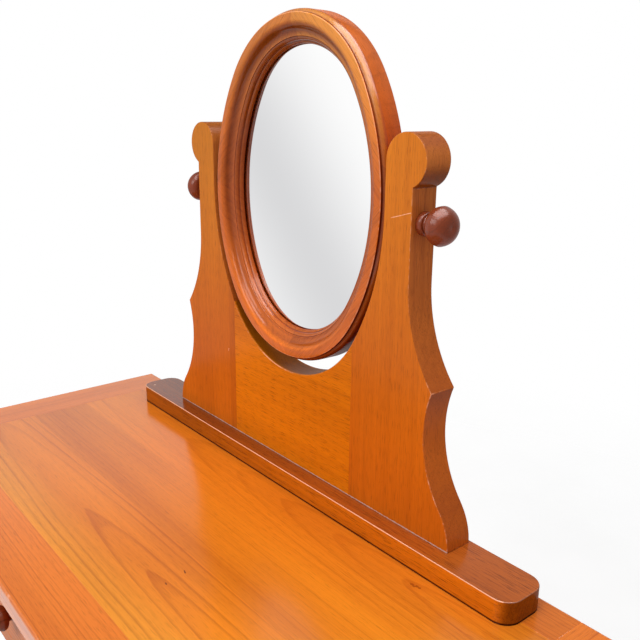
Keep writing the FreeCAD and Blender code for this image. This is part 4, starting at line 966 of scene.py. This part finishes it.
MILLIMETRES = 1000
# A run of the section: its points, inward and back in millimetres, its arris mark, its polish, and marks at its
# two ends. An arris mark above zero is wear, below zero painted shade
Run = namedtuple("Run", "points arris polish start end", defaults=(None, None))
# Painted shade on the outer side, the shoulder, the groove, the hollows, the quirks and the lip
FRAME_SECTION = (Run(bowed((1.2, 35.0), (0.0, 33.8), -0.25, 3), -0.38, 0.25),
                 Run([(0.0, 11.7)], -0.38, 0.25),
                 Run(bowed((0.0, 11.0), (4.3, 3.7), -1.15, 8), -0.52, 0.8, end=-0.8),
                 Run([(4.7, 3.2), (4.62, 1.1)], -0.85, 0.2),
                 Run(bowed((4.7, 0.7), (5.4, 0.1), -0.2, 3), 0.5, 0.3),
                 Run(bowed((5.8, 0.04), (13.0, 0.04), -0.04, 6), 0.0, 0.6),
                 Run(bowed((13.3, 0.06), (20.9, 4.5), -1.08, 12), (0.0, -0.16, -0.42, -0.64), 0.45),
                 Run(bowed((21.15, 4.9), (30.2, 10.38), 1.35, 14), (-0.66, -0.66, -0.55, -0.42, -0.32), 0.6),
                 Run([(30.55, 10.42)], 0.1, 0.6),
                 Run([(30.9, 11.2)], -1.0, 0.3),
                 Run(bowed((31.2, 10.9), (35.4, 16.2), -0.85, 10), (-0.42, -0.52, -0.66), 0.7, -0.9, -0.8),
                 Run([(35.65, 16.7)], -0.8, 0.3),
                 Run(bowed((35.9, 16.7), (38.8, 20.6), -0.5, 8), (-0.52, -0.58, -0.66), 0.6, -0.8, -0.7),
                 Run([(39.0, 20.9), (39.0, 21.6), (29.5, 21.6), (29.5, 26.3), (18.0, 26.3), (18.0, 35.0)],
                     -0.6, 0.2))


def spread(values, count):
    """Values spread evenly over a number of points."""
    if not isinstance(values, tuple):
        return [values] * count
    marks = []
    for index in range(count):
        place = index * (len(values) - 1) / (count - 1)
        near = min(int(place), len(values) - 2)
        share = place - near
        marks.append(values[near] * (1.0 - share) + values[near + 1] * share)
    return marks


def section_mesh():
    """The frame's section as a closed line, its worn arrises, painted shade and polish marked point by point."""
    points, marks, shine = [], [], []
    for run in FRAME_SECTION:
        # Marks above zero are wear, below zero painted shade
        wear = spread(run.arris, len(run.points))
        wear[0] = wear[0] if run.start is None else run.start
        wear[-1] = wear[-1] if run.end is None else run.end
        points += [(inward / MILLIMETRES, back / MILLIMETRES, 0.0) for inward, back in run.points]
        marks += wear
        shine += [run.polish] * len(run.points)
    mesh = bpy.data.meshes.new("frame_section")
    mesh.from_pydata(points, [(index, (index + 1) % len(points)) for index in range(len(points))], [])
    for name, values in (("arris", marks), ("polish", shine)):
        mesh.attributes.new(name, "FLOAT", "POINT").data.foreach_set("value", values)
    return mesh


def moulding_tree():
    """A section swept along one quarter of a four-centre oval, then leaned back about the tilt axis."""
    graph, given, last = new_group(
        "Oval moulding", sockets(Geometry="Geometry", Vector="Pivot", Int="Steps", Material="Material",
                                 Float="Half Width, Half Height, Tuck, Rise, Depth, Lean, Side, Half"),
        sockets(Geometry="Geometry"), "GeometryNodeTree")
    run = graph.call("GeometryNodeCurvePrimitiveLine", {"Start": (0.0, 0.0, 0.0), "End": (0.0, 0.0, 1.0)})
    run = graph.call("GeometryNodeResampleCurve", {"Curve": run, "Count": given["Steps"]})
    section = graph.call("GeometryNodeMeshToCurve", {"Mesh": given["Geometry"]})
    swept = graph.call("GeometryNodeCurveToMesh", {"Curve": run, "Profile Curve": section, "Fill Caps": True})
    inward, back, share = graph.split(graph.call("GeometryNodeInputPosition"))

    width, height, tuck = (given[name] for name in ("Half Width", "Half Height", "Tuck"))
    end_radius = width - tuck
    end_center = height - end_radius
    side_radius = (width * width - end_radius * end_radius + end_center * end_center) / (tuck * 2.0)
    side_center = side_radius - width
    meeting = graph.math("ARCTAN2", end_center, side_center)
    turned = share * (math.pi / 2)
    on_end = graph.math("GREATER_THAN", turned, meeting)
    on_side = 1.0 - on_end
    radius = end_radius * on_end + side_radius * on_side - inward
    across = radius * graph.math("COSINE", turned) - side_center * on_side
    up = radius * graph.math("SINE", turned) + end_center * on_end
    bent = graph.joined(across * given["Side"], back - given["Depth"] * 0.5,
                        up * given["Half"] + given["Rise"])
    shaped = graph.call("GeometryNodeSetPosition", {"Geometry": swept, "Position": bent})
    lean = graph.joined(given["Lean"] * -1.0, 0.0, 0.0)
    placed = graph.call("GeometryNodeTransform", {"Geometry": shaped, "Translation": given["Pivot"],
                                                  "Rotation": lean})
    return clad(graph, last, placed, given["Material"])


FRAME_SEGMENTS = (("top_right", 1, 1, 1.14, 80.0), ("bottom_right", 1, -1, 1.0, 83.0),
                  ("top_left", -1, 1, 0.98, 86.0), ("bottom_left", -1, -1, 1.12, 89.0))
FRAME_WORN = 0.20
# Painted shade on faces that look down, and a painted highlight on faces that look up
FRAME_PAINTED_LIGHT = (Shade(2, -0.04, -0.55, (0.70, 0.55, 0.42), "Normal"),
               Shade(2, 0.06, 0.45, (1.50, 1.60, 1.70), "Normal"))
# For each side of the frame: painted light, lighter and yellower towards the top; painted shade, darker and redder
# on faces that look sideways; then the painted light of the faces
FRAME_SHADES = {
    1: (Shade(2, 1.14, 1.34, (1.10, 1.80, 3.40)),
        Shade(1, -0.55, -0.12, (0.86, 0.50, 0.40), "Normal"), *FRAME_PAINTED_LIGHT),
    -1: (Shade(2, 1.16, 1.36, (1.05, 1.45, 2.60)),
         Shade(1, -0.55, -0.12, (0.90, 0.66, 0.58), "Normal"), *FRAME_PAINTED_LIGHT)}
FRAME_NICKS = {1: (Nick((0.1680, 0.1725, 1.118), (0.1662, 0.1722, 1.117), 0.0007),
                   Nick((0.1650, 0.1722, 1.104), (0.1640, 0.1722, 1.098), 0.0006)),
               -1: ()}


class DRESSING_OT_mirror_frame(bpy.types.Operator):
    """Four sawn and moulded segments of the mirror frame"""
    bl_idname = "dressing.mirror_frame"
    bl_label = "Mirror frame"

    def execute(self, context):
        settings = context.scene.dressing_mirror
        sizes = {key.replace("_", " ").title(): getattr(settings, key) for key in MirrorSizes.__annotations__}
        tree = bpy.data.node_groups.get("Oval moulding") or moulding_tree()
        for name, side, half, lift, seed in FRAME_SEGMENTS:
            node = f"mirror_frame_{name}"
            board = Board((0.0, 0.25, 0.2), 0.05, 0.0060, 0.014, seed, 0.20, 0.62, 0.40)
            slant = (0.0, math.radians(45 * side * half + 90), 0.0)
            material = timber(spoken(node), "frame", slant, board, FRAME_WORN, FRAME_NICKS[side], lift,
                              MARKED_COAT, FRAME_SHADES[side])
            piece = run_tree(f"{node}_moulded", section_mesh(), tree, {
                **sizes, "Pivot": PIVOT, "Side": float(side), "Half": float(half), "Material": material})
            shape = bmesh.new()
            shape.from_mesh(piece.data)
            cleaned(shape).to_mesh(piece.data)
            shape.free()
            smooth(piece.data, MOULDED_SHARP)
            settle(piece, node, material)
        return {"FINISHED"}


SILVER_SHARE = 0.45


def backward(lean):
    """The way that the back of the leaning mirror faces."""
    return Vector((0.0, math.cos(lean), -math.sin(lean)))


class DRESSING_OT_mirror_glass(bpy.types.Operator):
    """Silvered glass and the plywood board behind it"""
    bl_idname = "dressing.mirror_glass"
    bl_label = "Glass and backboard"

    def execute(self, context):
        self.silver(backward(context.scene.dressing_mirror.lean))
        board = Board((0.0, 0.5, 1.0), 0.04, 0.0090, 0.020, 95.0, 0.45, 0.45, 0.30)
        dress("mirror_backboard", lining("Backboard", "Z", board, 0.9))
        return {"FINISHED"}

    def silver(self, outward):
        """The silver seen through the glass: the plate's own outline, with its front at the silvered back."""
        shape = merged("mirror_glass")
        depths = {vert: vert.co.dot(outward) for vert in shape.verts}
        front, back = min(depths.values()), max(depths.values())
        for vert, depth in depths.items():
            if depth < (front + back) / 2:
                vert.co += outward * (back - front) * SILVER_SHARE
        name = "mirror_glass_silvered"
        settle(linked(name, meshed(shape, name)), "mirror_glass", silvered())


# Knobs and fittings

KNOB_STEPS = 96
KNOB_OUTLINE = ([(0.0, 0.0), (0.0, 0.0122)]
                + bowed((0.0005, 0.0129), (0.0062, 0.0126), 0.0005, 6)
                + bowed((0.0070, 0.0121), (0.0078, 0.0104), 0.0002, 3)
                + bowed((0.0079, 0.0098), (0.0142, 0.0092), -0.0010, 8)
                + bowed((0.0144, 0.0096), (0.0262, 0.0213), 0.0034, 12)
                + bowed((0.0265, 0.0214), (0.0400, 0.0), 0.0060, 22))


class DRESSING_OT_knobs(bpy.types.Operator):
    """Two turned knobs that clamp the mirror"""
    bl_idname = "dressing.knobs"
    bl_label = "Knobs"

    def execute(self, context):
        heart = (0.1, PIVOT.y + 0.01, PIVOT.z - 0.02)
        for index, (node, side) in enumerate((("right_knob", 1), ("left_knob", -1))):
            low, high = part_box(node)
            seat = Vector((low.x if side == 1 else high.x, PIVOT.y, PIVOT.z))
            board = Board(heart, 0.02, 0.0042, 0.006, 100.0 + index, 0.18, 0.30, 0.35)
            settle(lathed(f"{node}_turned", KNOB_OUTLINE, seat, Vector((side, 0, 0)), KNOB_STEPS), node,
                   timber(spoken(node), "knob", "X", board, coat=KNOB_COAT))
        return {"FINISHED"}


SLOT_HALF, SLOT_DEPTH, SLOT_FOOT = 0.16, 0.28, 0.98
HEAD_STEPS = 12


def screw_mesh(radius, head, shank):
    """A slotted countersunk screw, its head's face at the origin and facing +Z."""
    slot, floor = head * SLOT_HALF, -head * SLOT_DEPTH
    start = math.asin(slot / head)
    angles = [start + (math.pi - 2 * start) * step / HEAD_STEPS for step in range(HEAD_STEPS + 1)]
    shape = bmesh.new()
    halves = []
    for side in (1, -1):
        top = [shape.verts.new((head * math.cos(turned), side * head * math.sin(turned), 0.0))
               for turned in angles]
        shape.faces.new(top)
        lower = [shape.verts.new((top[end].co.x * SLOT_FOOT, side * slot, floor)) for end in (0, -1)]
        shape.faces.new((top[0], top[-1], lower[1], lower[0]))
        halves.append((top, lower))
    shape.faces.new((*halves[0][1], *reversed(halves[1][1])))
    around = [vert.co.copy() for vert in (*halves[0][0], *reversed(halves[1][0]))]
    rims = [[shape.verts.new((point.x * share, point.y * share, level)) for point in around]
            for share, level in ((1.0, 0.0), (radius / head, radius - head), (radius / head, -shank))]
    for near, far in zip(rims, rims[1:]):
        for index in range(len(near)):
            following = (index + 1) % len(near)
            shape.faces.new((near[index], near[following], far[following], far[index]))
    shape.faces.new(rims[-1])
    return meshed(cleaned(shape), "screw")


def screws_tree():
    """A screw at every point, its head facing one way and its slot turned at random."""
    graph, given, last = new_group(
        "Screws", sockets(Geometry="Geometry", Object="Screw", Vector="Outward", Int="Seed",
                          Material="Material"),
        sockets(Geometry="Geometry"), "GeometryNodeTree")
    points = graph.call("GeometryNodeMeshToPoints", {"Mesh": given["Geometry"], "Radius": 0.001})
    screw = graph.call("GeometryNodeObjectInfo", {"Object": given["Screw"]}, "Geometry")
    facing = graph.call("FunctionNodeAlignRotationToVector", {"Vector": given["Outward"]}, axis="Z")
    turn = graph.call("FunctionNodeRandomValue", {"Min": 0.0, "Max": math.pi, "Seed": given["Seed"]}, 1)
    spin = graph.call("FunctionNodeAxisAngleToRotation", {"Axis": (0.0, 0.0, 1.0), "Angle": turn})
    pose = graph.call("FunctionNodeRotateRotation", {"Rotation": facing, "Rotate By": spin},
                      rotation_space="LOCAL")
    placed = graph.call("GeometryNodeInstanceOnPoints", {"Points": points, "Instance": screw,
                                                         "Rotation": pose})
    return clad(graph, last, placed, given["Material"])


def heads(node, outward):
    """Middles of the outer faces of a CAD piece's separate solids."""
    shape = merged(node)
    left = set(shape.verts)
    found = []
    while left:
        island, edge = set(), [left.pop()]
        while edge:
            vert = edge.pop()
            island.add(vert)
            for link in vert.link_edges:
                other = link.other_vert(vert)
                if other in left:
                    left.remove(other)
                    edge.append(other)
        furthest = max(vert.co.dot(outward) for vert in island)
        rim = [vert.co for vert in island if vert.co.dot(outward) > furthest - SAME_FACE]
        found.append(sum(rim, Vector()) / len(rim))
    shape.free()
    return found


SCREW_SEED = 7


class DRESSING_OT_fittings(bpy.types.Operator):
    """Screws, studs, bushes, inserts and dowels"""
    bl_idname = "dressing.fittings"
    bl_label = "Fittings"

    def execute(self, context):
        brass = fitting("Brass", (0.80, 0.60, 0.28), (0.55, 0.38, 0.16))
        steel = fitting("Steel", (0.62, 0.62, 0.63), (0.36, 0.36, 0.37))
        for node in ("pivot_bushes", "mirror_pivot_inserts"):
            dress(node, brass)
        for node in ("left_pivot_stud", "right_pivot_stud"):
            dress(node, steel)
        board = Board((0.0, 0.1, 0.1), 0.0, 0.004, 0.004, 110.0, 0.4, 0.4, 0.3)
        dress("stand_dowels", lining("Dowel wood", "Z", board))
        tree = bpy.data.node_groups.get("Screws") or screws_tree()
        behind, below = backward(context.scene.dressing_mirror.lean), Vector((0.0, 0.0, -1.0))
        for node, outward, sizes, material in (
                ("mirror_back_screws", behind, (0.0016, 0.0032, 0.015), brass),
                ("top_screws", below, (0.0025, 0.0050, 0.037), steel),
                ("stand_screws", below, (0.0025, 0.0050, 0.040), steel)):
            points = bpy.data.meshes.new("screw_places")
            points.from_pydata(heads(node, outward), [], [])
            screw = linked("screw", screw_mesh(*sizes))
            piece = run_tree(f"{node}_slotted", points, tree, {
                "Screw": screw, "Outward": outward, "Seed": SCREW_SEED, "Material": material})
            bpy.data.objects.remove(screw)
            settle(piece, node, material)
        return {"FINISHED"}


# Stage

FLOOR_LIFT = 0.66


def floor_material(radius):
    """A pale floor that keeps the shadow of the table and fades into the white around it."""
    material = bpy.data.materials.new("Pale floor")
    material.use_nodes = True
    material.node_tree.nodes.clear()
    graph = Graph(material.node_tree)
    path = graph.outputs("ShaderNodeLightPath")
    seen = path["Is Camera Ray"] + path["Is Glossy Ray"] + path["Is Transmission Ray"]
    glow = graph.math("MINIMUM", seen, 1.0) * FLOOR_LIFT
    place = graph.call("ShaderNodeTexCoord", None, "Object")
    far = graph.vector("LENGTH", place, None, "Value")
    mottle = graph.ramp(graph.noise(place, (3.0, 3.0, 3.0), 3.0), 0.3, 0.7, 0.48, 0.52)
    matt = graph.call("ShaderNodeBsdfDiffuse", {"Color": graph.joined(mottle, mottle, mottle)})
    lift = graph.call("ShaderNodeEmission", {"Color": (1.0, 1.0, 1.0, 1.0), "Strength": glow})
    lit = graph.call("ShaderNodeAddShader", {0: matt, 1: lift})
    clear = graph.call("ShaderNodeBsdfTransparent")
    fade = graph.ramp(far, radius * 0.42, radius * 0.95)
    surface = graph.call("ShaderNodeMixShader", {0: fade, 1: lit, 2: clear})
    graph.node("ShaderNodeOutputMaterial", {"Surface": surface})
    return material


class DRESSING_OT_stage(bpy.types.Operator):
    """Floor, light and camera"""
    bl_idname = "dressing.stage"
    bl_label = "Stage"

    def execute(self, context):
        scene = context.scene
        stage = scene.dressing_stage
        scene.view_settings.view_transform = "Standard"
        self.floor(stage.floor_radius)
        self.surroundings(scene, stage.ambient)
        self.lamps(stage)
        self.camera(scene, stage)
        return {"FINISHED"}

    def floor(self, radius):
        """A round floor."""
        shape = bmesh.new()
        bmesh.ops.create_circle(shape, cap_ends=True, segments=96, radius=radius)
        mesh = meshed(shape, "floor")
        mesh.materials.append(floor_material(radius))
        linked("floor", mesh)

    def surroundings(self, scene, ambient):
        """White all round, darker high on the left and to the right where the lacquer mirrors it."""
        world = scene.world or bpy.data.worlds.new("Studio")
        scene.world = world
        world.use_nodes = True
        world.node_tree.nodes.clear()
        graph = Graph(world.node_tree)
        path = graph.outputs("ShaderNodeLightPath")
        across, back, height = graph.split(graph.call("ShaderNodeTexCoord", None, "Generated"))
        high_left = graph.ramp(height, 0.42, 0.56) * graph.ramp(across, -0.42, -0.15, 1.0, 0.0)
        behind = high_left * graph.ramp(back, -0.1, 0.1)
        room = graph.ramp(across, 0.1, 0.75, 1.0, 0.40) * graph.ramp(behind, 0.0, 1.0, 1.0, 0.30)
        bounced = path["Is Glossy Ray"] * room + path["Is Diffuse Ray"] * ambient
        direct = graph.math("MAXIMUM", path["Is Camera Ray"], path["Is Transmission Ray"])
        white = graph.math("MAXIMUM", bounced, direct)
        surface = graph.call("ShaderNodeBackground", {"Color": graph.joined(white, white, white),
                                                      "Strength": 1.0})
        graph.node("ShaderNodeOutputWorld", {"Surface": surface})

    def lamps(self, stage):
        """A key lamp in front, one above that no surface mirrors, and one that is only mirrored."""
        self.lamp("Key", stage.key, (1.8, 1.2), Vector((0.2, -2.2, 2.5)), Vector((0.0, 0.1, 0.95)))
        overhead = self.lamp("Overhead", stage.overhead, (1.2, 0.6), Vector((0.45, -0.2, 2.85)),
                             Vector((0.1, 0.0, 0.75)))
        overhead.visible_glossy = False
        sheen = self.lamp("Sheen", stage.sheen, (2.2, 1.8), Vector((0.45, 0.1, 2.8)),
                          Vector((0.0, 0.17, 1.1)))
        sheen.visible_diffuse = False

    def lamp(self, name, watts, size, place, target):
        """A soft rectangular lamp that faces a point."""
        lamp = bpy.data.lights.new(name, "AREA")
        lamp.shape = "RECTANGLE"
        lamp.size, lamp.size_y = size
        lamp.energy = watts
        holder = linked(name, lamp)
        holder.location = place
        holder.rotation_mode = "QUATERNION"
        holder.rotation_quaternion = (target - place).to_track_quat("-Z", "Y")
        return holder

    def camera(self, scene, stage):
        """The photo's camera."""
        eye = bpy.data.cameras.new("Camera")
        eye.sensor_width = 36.0
        eye.lens = stage.lens
        eye.clip_start = 0.02
        camera = linked("Camera", eye)
        ahead = Vector((-math.sin(stage.yaw) * math.cos(stage.pitch),
                        math.cos(stage.yaw) * math.cos(stage.pitch), math.sin(stage.pitch)))
        right = Vector((math.cos(stage.yaw), math.sin(stage.yaw), 0.0))
        up = right.cross(ahead)
        across = right * math.cos(stage.roll) + up * math.sin(stage.roll)
        upward = up * math.cos(stage.roll) - right * math.sin(stage.roll)
        turn = Matrix((across, upward, -ahead)).transposed()
        camera.matrix_world = Matrix.Translation(stage.camera_place) @ turn.to_4x4()
        scene.camera = camera


# Panel and registration

OPERATORS = (DRESSING_OT_table_top, DRESSING_OT_legs, DRESSING_OT_carcass, DRESSING_OT_drawers,
             DRESSING_OT_stand, DRESSING_OT_base, DRESSING_OT_mirror_frame, DRESSING_OT_mirror_glass,
             DRESSING_OT_knobs, DRESSING_OT_fittings, DRESSING_OT_stage)
SETTINGS = {"dressing_edges": EdgeSizes, "dressing_mirror": MirrorSizes, "dressing_timber": TimberColours,
            "dressing_stage": StageSettings}


class DRESSING_PT_panel(bpy.types.Panel):
    """Pieces and settings of the dressing table"""
    bl_idname = "DRESSING_PT_panel"
    bl_label = "Dressing Table"
    bl_space_type = "VIEW_3D"
    bl_region_type = "UI"
    bl_category = "Dressing Table"

    def draw(self, context):
        for operator in OPERATORS:
            self.layout.operator(operator.bl_idname)
        for name, group in SETTINGS.items():
            box = self.layout.box()
            settings = getattr(context.scene, name)
            for key in group.__annotations__:
                box.prop(settings, key)


CLASSES = (*SETTINGS.values(), *OPERATORS, DRESSING_PT_panel)


def register():
    """Add the settings, the operators and the panel."""
    for item in CLASSES:
        bpy.utils.register_class(item)
    for name, group in SETTINGS.items():
        setattr(bpy.types.Scene, name, PointerProperty(type=group))


def unregister():
    """Take out what register added."""
    for name in SETTINGS:
        delattr(bpy.types.Scene, name)
    for item in reversed(CLASSES):
        bpy.utils.unregister_class(item)


def main():
    """Build every piece and the stage."""
    register()
    for operator in OPERATORS:
        getattr(bpy.ops.dressing, operator.bl_idname.split(".")[1])()


if __name__ == "__main__":
    main()
